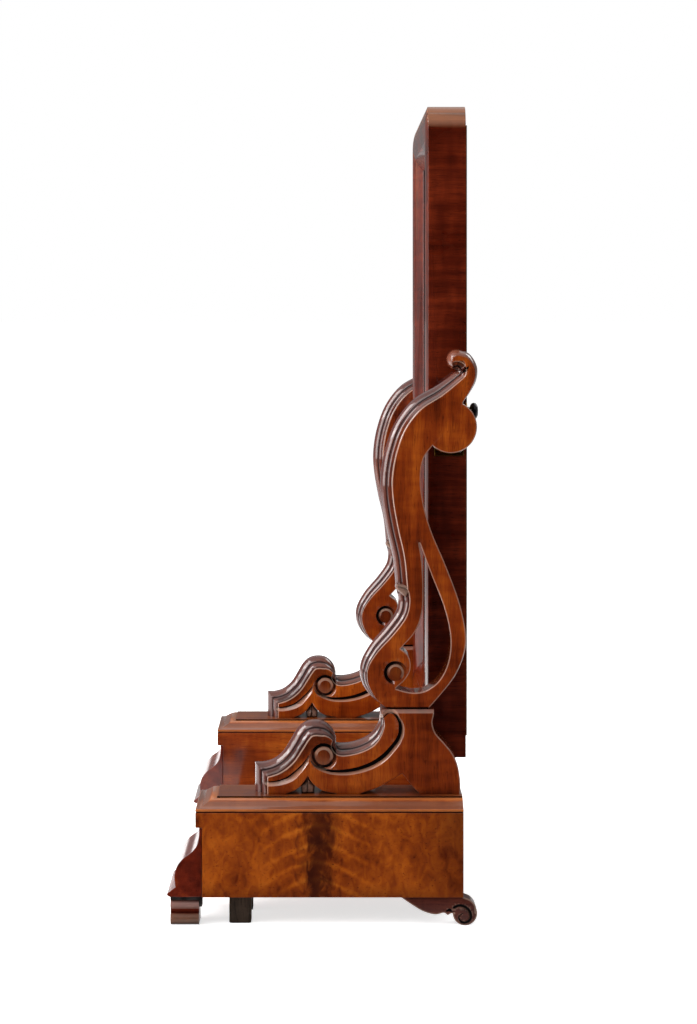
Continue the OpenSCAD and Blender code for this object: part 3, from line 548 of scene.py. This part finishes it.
# a carved board seen from its side: outlines in its plane and a relief on both faces
class Plate:
    def __init__(self, half, solids, holes=()):
        self.half, self.solids, self.holes = half, solids, list(holes)
        self.rims, self.cuts, self.rings = [], [], []

    def isInside(self, points):
        result = np.any([inside(points, s) for s in self.solids], axis=0)
        for hole in self.holes:
            result &= ~inside(points, hole)
        return result

    # an edge along a line, with its depth and its section
    def rim(self, line, depth, section=reeded):
        depth = alongLine(line, depth) if isinstance(depth, list) else np.full(len(line), float(depth))
        self.rims.append((line, depth, section))

    # a groove along a line: rows of share of the width, cut, painted shade and painted highlight from its
    # left to its right
    def cut(self, line, width, rows):
        width = alongLine(line, width) if isinstance(width, list) else np.full(len(line), float(width))
        self.cuts.append((line, width, np.array(rows)))

    # a turned groove: rows of radius, cut, painted shade and painted highlight, which fade with the angle
    def ring(self, centre, rows, fade=((-180, 1), (180, 1))):
        self.rings.append((np.array(centre), np.array(rows), np.array(fade)))

    # half thickness, painted shade, painted highlight and painted reed reflection at points of the face
    def surface(self, points):
        high = np.full(len(points), self.half)
        marks = np.zeros((3, len(points)))
        for line, depth, section in self.rims:
            share = np.abs(reach(points, line, depth))
            at = np.interp(share, section[:, 0], section[:, 1]) * self.half
            low = (share < section[-1, 0]) & (at <= high)
            high = np.where(low, at, high)
            for k in range(3):
                marks[k] = np.where(low, np.interp(share, section[:, 0], section[:, k + 2]), marks[k])
        for line, width, rows in self.cuts:
            share = reach(points, line, width)
            high = high - np.interp(share, rows[:, 0], rows[:, 1], 0, 0)
            for k in range(2):
                marks[k] = np.maximum(marks[k], np.interp(share, rows[:, 0], rows[:, k + 2], 0, 0))
        for centre, rows, fade in self.rings:
            off = points - centre
            far, turn = np.linalg.norm(off, axis=1), np.degrees(np.arctan2(off[:, 1], off[:, 0]))
            strong = np.interp(turn, fade[:, 0], fade[:, 1])
            high = high - strong * np.interp(far, rows[:, 0], rows[:, 1], right=0)
            for k in range(2):
                marks[k] = np.maximum(marks[k], strong * np.interp(far, rows[:, 0], rows[:, k + 2], right=0))
        return np.maximum(high, 0.0), marks

    # points and joined pairs that the triangles of the face keep
    def guides(self, step):
        spots, pairs = [], []

        def take(newSpots, newPairs):
            base = len(spots)
            spots.extend(newSpots)
            pairs.extend((a + base, b + base) for a, b in newPairs)

        def takeLoop(loop):
            take(list(loop), [(k, (k + 1) % len(loop)) for k in range(len(loop))])

        for loop in self.solids + self.holes:
            takeLoop(loop)
        everything = np.vstack(self.solids)
        margin = relief["margin"] * step
        origin = everything.min(0) - margin
        size = np.ceil((everything.max(0) + margin - origin) / step).astype(int) + 1
        grid = np.stack(np.meshgrid(*[np.arange(n) for n in size], indexing="ij"), -1)
        points = origin + step * grid.reshape(-1, 2)
        solid = self.isInside(points)
        for line, depth, section in self.rims:
            share = np.abs(reach(points, line, depth))
            field = np.where(solid, share, -share).reshape(size)
            for level in section[1:, 0]:
                take(*levelLines(field, origin, step, level))
        for line, width, rows in self.cuts:
            field = reach(points, line, width).reshape(size)
            for level in rows[:, 0]:
                take(*levelLines(field, origin, step, level))
        for centre, rows, fade in self.rings:
            for radius in rows[:, 0]:
                if radius > 0:
                    takeLoop(arcLine(centre, radius, 0, 360, max(24, int(radius * 5)))[:-1])
        take(*sparse(points, solid, size))
        return spots, pairs

    # the face as points in its plane and triangles that all turn the same way
    def face(self, step):
        spots, pairs = self.guides(step)
        spots, _, triangles, *_ = delaunay_2d_cdt([Vector(p) for p in spots], pairs, [], 0, relief["merge"])
        points = np.array([tuple(v) for v in spots])
        triangles = np.array(triangles)
        triangles = triangles[self.isInside(points[triangles].mean(1))]
        used = np.unique(triangles)
        renumber = np.full(len(points), -1)
        renumber[used] = np.arange(len(used))
        points, triangles = points[used], renumber[triangles]
        corner = points[triangles]
        ab, ac = corner[:, 1] - corner[:, 0], corner[:, 2] - corner[:, 0]
        turned = ab[:, 0] * ac[:, 1] - ab[:, 1] * ac[:, 0] < 0
        triangles[turned] = triangles[turned][:, ::-1]
        return points, [tuple(t) for t in triangles.tolist()]

    # both faces and the walls between them, with the marks on the corners of the faces
    def build(self, name, centreX, place, step=relief["step"]):
        points, front = self.face(step * (1))
        high, marks = self.surface(points)
        count = len(points)
        joined = dict.fromkeys(pair for a, b, c in front for pair in ((a, b), (b, c), (c, a)))
        walls = [(a, b) for a, b in joined if (b, a) not in joined]
        thin = {a for pair in walls for a in pair if high[a] < relief["thinRim"] * self.half}
        verts = []
        for way in (1, -1):
            for (u, v), h in zip(points, high):
                verts.append(((centreX + way * h) * mm, (place[0] + u) * mm, (place[1] + v) * mm))
        back = [k if k in thin else k + count for k in range(count)]
        faces = front + [(back[c], back[b], back[a]) for a, b, c in front]
        firstWall = 3 * len(faces)
        for a, b in walls:
            quad = tuple(dict.fromkeys((b, a, back[a], back[b])))
            if len(quad) > 2:
                faces.append(quad)
        mesh = bpy.data.meshes.new(name)
        mesh.from_pydata(verts, [], faces)
        corners = np.zeros(len(mesh.loops), int)
        mesh.loops.foreach_get("vertex_index", corners)
        onWall = np.arange(len(corners)) >= firstWall
        for key, values, share in zip(markNames, marks, relief["wallMarks"]):
            values = np.concatenate([values, values])[corners]
            attribute = mesh.attributes.new(key, "FLOAT", "CORNER")
            attribute.data.foreach_set("value", np.where(onWall, share * values, values))
        mesh.validate()
        piece = finishMesh(name, mesh)
        sharpenFaces(mesh)
        return piece


# a flat face keeps its own shading up to its arris
def sharpenFaces(mesh):
    flat = [abs(face.normal.x) > 0.9998 for face in mesh.polygons]
    kinds = {}
    for face in mesh.polygons:
        for key in face.edge_keys:
            kinds.setdefault(key, []).append(flat[face.index])
    sharp = mesh.attributes["sharp_edge"].data
    for edge in mesh.edges:
        if len(set(kinds[edge.key])) > 1:
            sharp[edge.index].value = True


# a loose grid of points inside the faces, which keeps the triangles even
def sparse(points, solid, size):
    keep = np.zeros(size, bool)
    keep[::relief["loosePoints"], ::relief["loosePoints"]] = True
    return list(points[solid & keep.reshape(-1)]), []


def finishMesh(name, mesh, sharp=34):
    piece = bpy.data.objects.new(name, mesh)
    scene.collection.objects.link(piece)
    mesh.shade_smooth()
    mesh.set_sharp_from_angle(angle=math.radians(sharp))
    weigh = piece.modifiers.new("weigh", "WEIGHTED_NORMAL")
    weigh.keep_sharp = True
    return piece


def dress(piece, node, body, slotName, material=None):
    piece.data.materials.clear()
    piece.data.materials.append(materials[material or slotName])
    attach(piece, body)
    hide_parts(node)


# millimetres from the pivot's line and the top of the column; the radii and centres of the round parts
upright = {"half": (standHigh[0] - standLow[0]) / 2, "middle": (standHigh[0] + standLow[0]) / 2,
           "boss": (0, 286), "bossR": 26.6, "curl": (6.8, 353.9), "curlR": 10.4, "eye": (-56, 36.8),
           "curlEye": (10.7, 349.6), "leafLower": 0.4, "leafStep": 0.5}


def makeUpright():
    scrollFront = smoothLine([(-64.5, 0), (-80, 10), (-90.5, 26), (-91.5, 44), (-82, 63), (-66, 82),
                              (-55.5, 97), (-53, 108), (-53.8, 115)])
    bodyFront = smoothLine([(-55.5, 123), (-58.5, 152), (-65, 181), (-70, 210), (-71, 234), (-66.5, 262),
                            (-56, 290), (-38, 313), (-14, 327.5), (6.5, 342.8)])
    neckBack = smoothLine([(9, 364.3), (20, 359.5), (27.3, 347), (26.5, 333), (20, 320.5), (13, 311)])
    bodyBack = smoothLine([(-18.5, 267), (-27.5, 254), (-30.5, 234), (-27.8, 209), (-20, 181), (-4.5, 144),
                           (9, 107), (15.2, 76), (13.5, 56), (5, 35), (-9, 16), (-23, 0)])
    loopBack = smoothLine([(-55.5, 20.5), (-45, 17.5), (-34.8, 16.6), (-24.5, 19), (-12.5, 28), (-4, 43),
                           (-0.3, 62), (-1.5, 82), (-8, 107), (-20, 137), (-31.4, 168)])
    loopFront = np.vstack([
        smoothLine([(-32, 168), (-29, 148), (-27.8, 120), (-29, 98), (-36, 78.5), (-51, 61)]),
        smoothLine([(-51, 61), (-43.8, 55), (-40.7, 46), (-42, 37), (-47.4, 28.7), (-55.5, 21.5)])])
    boss, bossR = upright["boss"], upright["bossR"]
    curl, curlR = upright["curl"], upright["curlR"]
    body = np.vstack([scrollFront, bodyFront, [(16, 343), (15, 352), (8, 364.3)], neckBack, [boss], bodyBack])
    loopHole = np.vstack([loopFront, loopBack])
    rounds = [arcLine(boss, bossR, 0, 360, 96)[:-1], arcLine(curl, curlR, 0, 360, 60)[:-1]]
    plate = Plate(upright["half"], [body] + rounds, [loopHole])
    plate.rim(scrollFront, [(0, 0.3), (0.2, 5.5), (0.4, 8.4), (0.6, 10), (1, 12)])
    plate.rim(bodyFront, [(0, 12), (0.8, 12.5), (1, 10)], coved)
    # a dark joint line along the upright's foot, with painted shadow
    plate.rim(np.array([(-64.5, 0), (-23.0, 0)]), 2.2, joint)
    plate.rim(arcLine(curl, curlR, 261, 83, 48), 6.4, rolled)
    plate.rim(neckBack, [(0, 6.2), (0.5, 3.5), (0.8, 2), (1, 1)], rolled)
    for line in (bodyBack, loopHole, arcLine(boss, bossR, 62.5, -134, 60)):
        plate.rim(line, 0.9, eased)
    # the scroll's eye, a groove round the left and the top painted black as shade over its patina, with a
    # painted highlight on the bevel inside it
    eye = upright["eye"]
    plate.ring(eye, [(0, 0, 0, 0), (8.2, 0, 0, 0), (8.8, 3.2, 1, 0), (11.4, 3.2, 1, 0), (12, 0, 0.2, 0.2)],
               [(-180, 1), (-115, 0.9), (-95, 0), (-25, 0), (0, 0.25), (60, 0.8), (100, 1), (180, 1)])
    plate.ring(eye, [(0, 0, 0.5, 0), (8.2, 0, 0.5, 0), (8.6, 0, 0, 0)])
    plate.ring(eye, [(0, 0, 0, 0), (6, 0, 0, 0), (6.3, 0.5, 0, 0.8), (8.5, 1.1, 0, 0.8), (8.8, 0, 0, 0)],
               [(-180, 0.3), (-150, 0), (-45, 0), (-30, 0.6), (60, 1), (140, 1), (180, 0.3)])
    # the curl's small eye, painted darker, and the hollow under it, painted black as shade
    plate.ring(upright["curlEye"], [(0, 0.6, 0.7, 0), (3.4, 0.6, 0.7, 0), (4, 0, 0, 0)])
    plate.cut(np.array([(12.5, 341), (15.5, 343.8), (18, 347)], float), [(0, 0.6), (0.5, 2.2), (1, 0.4)],
              [(-1, 0, 0, 0), (-0.6, 4, 1, 0), (0.6, 4, 1, 0), (1, 0, 0, 0)])
    # the leaf between the scroll and the body, with painted highlights and a painted reed reflection on its
    # edges and painted shade in its vein
    leaf = np.array([(-55, 126.8), (-40.6, 125.9), (-36.6, 118.8), (-42.8, 117), (-45.5, 112.6),
                     (-52.6, 118.2), (-56, 121.6)])
    leafEdge = np.array([(0, 0.8, 0, 0.3, 1), (0.25, 0.93, 0, 0.8, 1), (1, 1, 0, 0.5, 1)])
    leafPlate = Plate(upright["half"] - upright["leafLower"], [leaf])
    leafPlate.rim(np.vstack([leaf, leaf[:1]]), 6.0, leafEdge)
    leafPlate.cut(np.array([(-53, 124), (-44, 121), (-39, 119.4)], float), 1.2,
                  [(-1, 0, 0, 0), (0, 1.6, 0.8, 0), (1, 0, 0, 0)])
    return plate, leafPlate


uprightPlate, uprightLeaf = makeUpright()
for side, sign in sides.items():
    middle = sign * upright["middle"]
    piece = uprightPlate.build("carvedUpright_" + side, middle, (pivotY, columnZ))
    dress(piece, "upright_" + side, "base", "carved_mahogany")
    leaf = uprightLeaf.build("uprightLeaf_" + side, middle, (pivotY, columnZ), upright["leafStep"])
    dress(leaf, "upright_" + side, "base", "carved_mahogany")
print("uprights made:", len(piece.data.vertices), "points each")


# millimetres from the front of the arm and the table of the box top
bracket = {"half": (armHigh[0] - armLow[0]) / 2, "middle": (armHigh[0] + armLow[0]) / 2, "eye": (69.8, 38.4),
           "leafShare": 0.9, "leafStep": 0.5}


def makeBracket():
    front = np.array([(0.0, 0.0), (0, 29.5)])
    armTop = smoothLine([(0, 29.5), (10, 30), (20, 33.5), (29, 41), (36, 52), (43, 63.5), (51, 70.5),
                         (61, 72.6), (71, 70.5), (79, 63), (82.3, 54), (82.5, 48.5)])
    armTail = smoothLine([(82.5, 48.5), (96, 49.5), (108, 53), (118.5, 59.5), (125, 69), (126.5, 77),
                          (127, 85.5)])
    columnBack = smoothLine([(181.5, 85.5), (181.3, 80), (180, 72), (183, 62), (192, 51.5), (200, 41.5),
                             (205.5, 29), (208, 14), (208.2, 0)])
    arch = np.vstack([smoothLine([(166, 1.5), (158, 10), (149.4, 21)]),
                      smoothLine([(149.4, 21), (137, 13.7), (124, 6.5), (108, 0.8)])])
    under = np.vstack([smoothLine([(82, 0.6), (70, 3), (62, 8), (57, 13), (54, 18)]),
                       smoothLine([(54, 18), (48, 10), (42, 4.5), (33, 0.6)])])
    loop = np.vstack([front, armTop[1:], armTail[1:], columnBack, [(168, 0)], arch, [(104, 0), (84, 0)],
                      under, [(31, 0)]])
    plate = Plate(bracket["half"], [loop])
    plate.rim(np.vstack([front, armTop[1:]]), [(0, 13.5), (0.3, 13.5), (0.6, 15), (0.8, 13), (1, 0.4)])
    plate.rim(armTail, [(0, 1.5), (0.08, 10.5), (0.5, 10), (0.75, 6.5), (1, 0.8)])
    plate.rim(columnBack, 1.0, eased)
    plate.rim(np.array([(129.0, 85.5), (181.5, 85.5)]), 3.4, sloped)
    for line in (arch, under):
        plate.rim(line, 1.0, plain)
    # grooves painted black as shade over their patina, with a painted highlight on the bevel below: under the
    # arm's front, and under its whole length
    bevelled = [(-1.2, 0, 0, 0.2), (-1, 3.4, 1, 0), (0.9, 3.4, 1, 0), (1.1, 3.0, 0.3, 0.6), (2.3, 0.2, 0, 1),
                (2.5, 0, 0, 0)]
    plate.cut(smoothLine([(57.3, 33), (62, 28.2), (70.8, 24.9), (79.5, 23.2), (92.1, 23.4), (101.8, 24.9),
                          (111.5, 27.7), (121.1, 32), (130.8, 38.8), (138.6, 47.1), (144.4, 54.8),
                          (147.4, 63), (147, 72), (142.8, 79.5)]),
              [(0, 0.3), (0.12, 1.1), (0.3, 1.7), (0.6, 2.1), (0.9, 1.6), (1, 0.6)], bevelled)
    plate.cut(smoothLine([(146.2, 74), (144, 79), (139.5, 83.2), (134.5, 82.4), (130.6, 79), (128.4, 75.5)]),
              [(0, 0.3), (0.3, 1.6), (0.8, 1.6), (1, 1)],
              [(-1.2, 0, 0, 0), (-0.9, 2.2, 0.9, 0), (-0.4, 2.2, 0.7, 0), (0.4, 1.6, 0, 0.8),
               (1.6, 0.5, 0, 0.9), (1.8, 0, 0, 0)])
    plate.cut(smoothLine([(13.7, 12.4), (19.5, 12.8), (26.3, 14.2), (34, 17.4), (40.8, 22.8), (46.6, 28.2),
                          (51.5, 33.8), (54.8, 39)]), [(0, 1.1), (0.5, 1.5), (0.85, 1), (1, 0.2)],
              [(-0.7, 0, 0, 0.2), (-0.5, 2.6, 1, 0), (0.5, 2.6, 1, 0), (0.8, 2.2, 0.2, 0.5),
               (2.2, 1.6, 0, 0.9), (3.8, 0.3, 0, 0.8), (4, 0, 0, 0)])
    # the volute: a darker eye, a painted highlight on the crescent over it, a ring painted black as shade, a
    # painted highlight on the bevel at its lower right
    eye = bracket["eye"]
    plate.ring(eye, [(0, 0, 0.5, 0), (8.8, 0, 0.5, 0), (9.2, 0, 0, 0)])
    plate.ring(eye, [(0, 0, 0, 0), (6.4, 0, 0, 0), (6.7, 0.4, 0, 0.8), (9.4, 0.9, 0, 0.8), (9.8, 3.4, 1, 0),
                     (12.4, 3.4, 1, 0), (13.4, 0, 0.4, 0)],
               [(-180, 0.3), (-150, 0), (-40, 0), (-15, 0.8), (40, 1), (150, 1), (180, 0.3)])
    plate.ring(eye, [(0, 0, 0, 0), (8.6, 0, 0, 0.2), (9, 3.4, 1, 0), (11.6, 3.4, 1, 0), (12, 2.6, 0.3, 0.3),
                     (14.2, 0.2, 0, 0.5), (14.4, 0, 0, 0)],
               [(-180, 0.9), (-60, 1), (-40, 0.9), (-5, 0), (150, 0), (180, 0.9)])
    # painted shade in a band along the face of the arm, between its reed and the groove
    plate.cut(smoothLine([(14, 21), (24, 23.5), (34, 29), (43, 38), (51, 47), (59, 53), (67, 55), (74, 52)]),
              [(0, 2), (0.2, 6), (0.7, 9), (1, 5)],
              [(-1, 0, 0, 0), (-0.5, 0, 0.5, 0), (0.5, 0, 0.5, 0), (1, 0, 0, 0)])
    # the leaf, with painted highlights and a painted reed reflection on its edges and painted shade in its
    # vein
    leaf = np.array([(47.5, 0), (46.3, 8.1), (50.5, 11), (53.7, 19.8), (57, 11), (60.8, 7.1), (60, 0)], float)
    leafEdge = np.array([(0, 0.7, 0, 0.3, 1), (0.2, 0.85, 0, 0.7, 1), (1, 1, 0, 0.6, 1)])
    leafPlate = Plate(bracket["half"] * bracket["leafShare"], [leaf])
    leafPlate.rim(np.vstack([leaf, leaf[:1]]), 8.0, leafEdge)
    leafPlate.cut(np.array([(53.6, 18), (53.4, 9), (53.3, 0)]), [(0, 0.3), (1, 1.4)],
                  [(-1, 0, 0, 0), (0, 2.2, 0.5, 0), (1, 0, 0, 0)])
    return plate, leafPlate


bracketPlate, bracketLeaf = makeBracket()
for side, sign in sides.items():
    middle = sign * bracket["middle"]
    piece = bracketPlate.build("carvedBracket_" + side, middle, (armLow[1], topZ))
    dress(piece, "bracket_" + side, "base", "carved_mahogany")
    leaf = bracketLeaf.build("bracketLeaf_" + side, middle, (armLow[1], topZ), bracket["leafStep"])
    dress(leaf, "bracket_" + side, "base", "carved_mahogany")
print("brackets made:", len(piece.data.vertices), "points each")


# a bar across the box, from its outline in depth and height
def bar(name, outline, start, end, ease, sharp=30):
    count = len(outline)
    verts = [(x * mm, y * mm, z * mm) for x in (start, end) for y, z in outline]
    faces = [(k, (k + 1) % count, (k + 1) % count + count, k + count) for k in range(count)]
    faces += [tuple(range(count))[::-1], tuple(range(count, 2 * count))]
    mesh = bpy.data.meshes.new(name)
    mesh.from_pydata(verts, [], faces)
    piece = bpy.data.objects.new(name, mesh)
    scene.collection.objects.link(piece)
    mesh.shade_smooth()
    recalcNormals(mesh)
    mesh.set_sharp_from_angle(angle=math.radians(sharp))
    addBevel(piece, ease, sharp)
    return piece


def recalcNormals(mesh):
    b = bmesh.new()
    b.from_mesh(mesh)
    bmesh.ops.recalc_face_normals(b, faces=b.faces)
    b.to_mesh(mesh)
    b.free()


def addBevel(piece, width, sharp=30, segments=3):
    bevel = piece.modifiers.new("bevel", "BEVEL")
    bevel.width = width * mm
    bevel.segments = segments
    bevel.limit_method = "ANGLE"
    bevel.angle_limit = math.radians(sharp)
    bevel.use_clamp_overlap = True
    weigh = piece.modifiers.new("weigh", "WEIGHTED_NORMAL")
    weigh.keep_sharp = False


# the size that the ogee is drawn at, which the front's own size then stretches
drawerFront = {"deep": 35, "tall": 68.6, "ease": 0.5}


def ogeeFront(low, high):
    deep, tall = drawerFront["deep"], drawerFront["tall"]
    curve = smoothLine([(32.2, 68.6), (32.3, 63), (30.5, 52.6), (25, 44.9), (16.5, 38.6), (10, 30.1),
                        (7.6, 21), (8.5, 9.8)], 6)
    line = np.vstack([[(deep, tall)], curve, [(0.6, 3.7), (0, 2.5), (0.7, 1.2), (3.5, 0), (deep, 0)]])
    return line * ((high[1] - low[1]) / deep, (high[2] - low[2]) / tall) + (low[1], low[2])


for side in sides:
    node = "drawer_front_" + side
    low, high = boxOf(node)
    piece = bar("ogeeFront_" + side, ogeeFront(low, high), low[0], high[0], drawerFront["ease"])
    dress(piece, node, "drawer_" + side, "drawer_front")

# the cove of the top: where it starts in and up, how far it runs in and how far it ends below the table
cove = {"inward": 1.2, "up": 4, "run": 18.2, "below": 1.5, "steps": 12}


# the drawing of the top's edge goes round the front and both sides and meets in mitres.
# Rows of inward, up, painted shade, painted highlight and painted reflection of the sky
def mouldedTop(side):
    node = "box_top_" + side
    low, high = boxOf(node)
    thick = high[2] - low[2]
    rise = thick - (cove["up"] + cove["below"])
    # a dark line at the foot painted as shadow, a painted highlight on the fillet, then the cove with a
    # painted sky reflection low and a painted highlight near its top
    edge = [(0.9, 0, 1, 0, 0), (0.9, 1.1, 1, 0, 0), (0, 1.5, 0, 0.8, 0), (0, 3.2, 0, 0.8, 0),
            (0.5, 3.7, 0, 0.4, 0.6)]
    for k in range(cove["steps"] + 1):
        share = k / cove["steps"]
        inward = cove["inward"] + cove["run"] * share
        up = cove["up"] + rise * (1 - math.cos(math.pi * share)) / 2
        edge.append((inward, up, 0, 0.9 if share > 0.7 else 0, 0.9 if share < 0.65 else 0))
    coveTop = thick - cove["below"]
    # a quirk painted black as shadow, then the table painted darker as shade
    edge += [(20.6, coveTop, 0.3, 0.5, 0), (20.8, coveTop, 1, 0, 0), (21, thick - 0.2, 1, 0, 0),
             (21.3, thick, 0, 0.3, 0), (21.8, thick, 0.42, 0, 0)]
    verts, faces, marks = [], [], []
    for inward, up, *mark in edge:
        for x, y in ((low[0] + inward, high[1]), (low[0] + inward, low[1] + inward),
                     (high[0] - inward, low[1] + inward), (high[0] - inward, high[1])):
            verts.append((x * mm, y * mm, (low[2] + up) * mm))
            marks.append(mark)
    for k in range(len(edge) - 1):
        for j in range(3):
            a = 4 * k + j
            faces.append((a, a + 1, a + 5, a + 4))
        faces.append((4 * k, 4 * k + 4, 4 * k + 7, 4 * k + 3))
    last = 4 * (len(edge) - 1)
    faces += [(0, 3, 2, 1), (last, last + 1, last + 2, last + 3)]
    mesh = bpy.data.meshes.new("mouldedTop_" + side)
    mesh.from_pydata(verts, [], faces)
    for k, key in enumerate(markNames):
        mesh.attributes.new(key, "FLOAT", "POINT").data.foreach_set("value", [m[k] for m in marks])
    recalcNormals(mesh)
    piece = finishMesh("mouldedTop_" + side, mesh, 30)
    dress(piece, node, "base", "moulding", "mouldingY")
    mesh.materials.append(materials["mouldingX"])
    for face in mesh.polygons:
        across = all(k % 4 in (1, 2) for k in face.vertices)
        face.material_index = 1 if across else 0


for side in sides:
    mouldedTop(side)
print("drawer fronts and tops made")

# millimetres from the middle of the volute and the floor
footLow, footHigh = boxOf("rear_foot_right")
rearFoot = {"radius": 12.2, "height": footHigh[2] - footLow[2], "half": (footHigh[0] - footLow[0]) / 2,
            "middle": (footHigh[0] + footLow[0]) / 2, "step": 0.7}


def makeRearFoot():
    height, r = rearFoot["height"], rearFoot["radius"]
    neckLine = smoothLine([(-1, height - 0.2), (5.5, 25.5), (10.3, 20), (11, 13)])
    wave = np.vstack([smoothLine([(-11, 12.2), (-14, 12), (-17.3, 10.5), (-20, 12.4)]),
                      smoothLine([(-22, 12.6), (-30, 11), (-41.5, 14), (-52, 20), (-64.5, height)])])
    body = np.vstack([[(-1.5, height)], neckLine, [(0, r - 4)], wave])
    plate = Plate(rearFoot["half"], [body, arcLine((0, r), r, 0, 360, 60)[:-1]])
    plate.rim(neckLine, 1.2, eased)
    plate.rim(wave, 1.0, eased)
    plate.rim(arcLine((0, r), r, 5, -180, 60), 1.0, eased)
    # a spiral groove painted black as shade, with painted highlights on its bevels
    plate.cut(smoothLine([(-10.5, 18), (-6, 19.6), (-1, 18.8), (3, 16), (5.6, 11.8), (5.6, 7), (2.4, 3.4),
                          (-2.4, 3), (-5.8, 6), (-5.6, 9.8), (-2.6, 12)]), [(0, 1.8), (0.6, 1.5), (1, 0.3)],
              [(-1, 0, 0, 0.4), (-0.8, 2.6, 1, 0), (0.5, 2.6, 1, 0), (0.8, 1.2, 0.2, 0.3), (1.6, 0, 0, 0.4)])
    plate.cut(smoothLine([(-12.5, 13.5), (-15.5, 15.5), (-18.6, 14.4)]), [(0, 0.6), (0.5, 1.6), (1, 0.6)],
              [(-1, 0, 0, 0), (-0.7, 3, 1, 0), (0.7, 3, 1, 0), (1, 0, 0, 0.4)])
    return plate


footPlate = makeRearFoot()
footPlace = (footHigh[1] - rearFoot["radius"], 0)
for side, sign in sides.items():
    piece = footPlate.build("scrollFoot_" + side, sign * rearFoot["middle"], footPlace, rearFoot["step"])
    dress(piece, "rear_foot_" + side, "base", "carved_mahogany", "footWood")
print("rear feet made")


# the frame's face swells a little between its outer edge and its bevel: how high, how far in, the
# radius at the outer corners and where the face is cut to bend, in millimetres
swell = {"high": 3.2, "wide": 34, "corner": 25, "cuts": (1.2, 3, 6, 10, 14, 18, 22, 26, 29.5, 32, 34)}


def swellFace(name, node, material):
    frameHigh = [max(a, b) for a, b in zip(boxOf("stile_right")[1], boxOf("top_rail")[1])]
    frameLow = [min(a, b) for a, b in zip(boxOf("stile_left")[0], boxOf("bottom_rail")[0])]
    wide, tall, corner = frameHigh[0], frameHigh[2], swell["corner"]
    b = bmesh.new()
    b.from_mesh(nodes[node].data)
    bmesh.ops.remove_doubles(b, verts=b.verts, dist=weldDistance)

    def onFront(v):
        return abs(v.co.y / mm - frameLow[1]) < 0.05

    for inward in swell["cuts"]:
        for spot, way in (((wide - inward, 0, 0), (1, 0, 0)), ((inward - wide, 0, 0), (1, 0, 0)),
                          ((0, 0, tall - inward), (0, 0, 1)), ((0, 0, frameLow[2] + inward), (0, 0, 1))):
            faces = [f for f in b.faces if all(onFront(v) for v in f.verts)]
            parts = list({v for f in faces for v in f.verts}) + list({e for f in faces for e in f.edges})
            spot = [c * mm for c in spot]
            bmesh.ops.bisect_plane(b, geom=parts + faces, dist=weldDistance, plane_co=spot, plane_no=way)
    for v in b.verts:
        if onFront(v):
            x, z = abs(v.co.x / mm), v.co.z / mm
            inward = min(wide - x, tall - z, z - frameLow[2])
            if x > wide - corner and z > tall - corner:
                inward = corner - math.hypot(x - wide + corner, z - tall + corner)
            share = min(max(inward / swell["wide"], 0), 1)
            v.co.y -= swell["high"] * math.sin(math.pi * share) ** 0.75 * mm
    mesh = bpy.data.meshes.new(name)
    b.to_mesh(mesh)
    b.free()
    piece = finishMesh(name, mesh, 40)
    dress(piece, node, "mirror", "frame_mahogany", material)


for name, node, material in (
        ("frameStile_right", "stile_right", "frameZ"), ("frameStile_left", "stile_left", "frameZ"),
        ("frameRail_top", "top_rail", "frameX"), ("frameRail_bottom", "bottom_rail", "frameX")):
    swellFace(name, node, material)
print("mirror frame made")

# boards and fittings shown as they are: node, material and eased edge in millimetres
kept = [
    ("platform", "mahoganyX", 0.8), ("back_rail", "mahoganyX", 0.8),
    ("slip", "frameX", 0.2), ("mirror_glass", "mirror", 0.3), ("glass_blocks", "drawer_lining", 0.8),
    ("backboard", "backboard_wood", 0.0), ("backboard_screws", "iron", 0.15),
]
for side in sides:
    kept += [(name + "_" + side, material, ease) for name, material, ease in (
        ("outer_side", "veneer", 0.5), ("inner_side", "mahoganyY", 0.5), ("frieze_rail", "mahoganyX", 0.3),
        ("back_board", "secondary_wood", 0.4), ("bottom_board", "secondary_wood", 0.4),
        ("drawer_sides", "drawer_lining", 0.4), ("drawer_back", "drawer_lining", 0.4),
        ("drawer_bottom", "drawer_lining", 0.3), ("block_feet", "block_wood", 4.0),
        ("front_foot", "frontFootWood", 0.8), ("foot_strap", "iron", 0.3), ("dowels", "drawer_lining", 0.3),
        ("spindle", "brass", 0.2), ("pivot_plate", "shadedTarnishedBrass", 0.3), ("plate_screws", "shadedTarnishedBrass", 0.15),
        ("pivot_bush", "brass", 0.3), ("clamp_insert", "brass", 0.3), ("clamp_plunger", "brass", 0.2),
        ("clamp_screw", "dark_metal", 0.0))]
for name, material, ease in kept:
    piece = nodes[name]
    piece.data.materials.clear()
    piece.data.materials.append(materials[material])
    if ease:
        weld = piece.modifiers.new("weld", "WELD")
        weld.merge_threshold = weldDistance
        addBevel(piece, ease)
print("boards and fittings dressed:", len(kept))
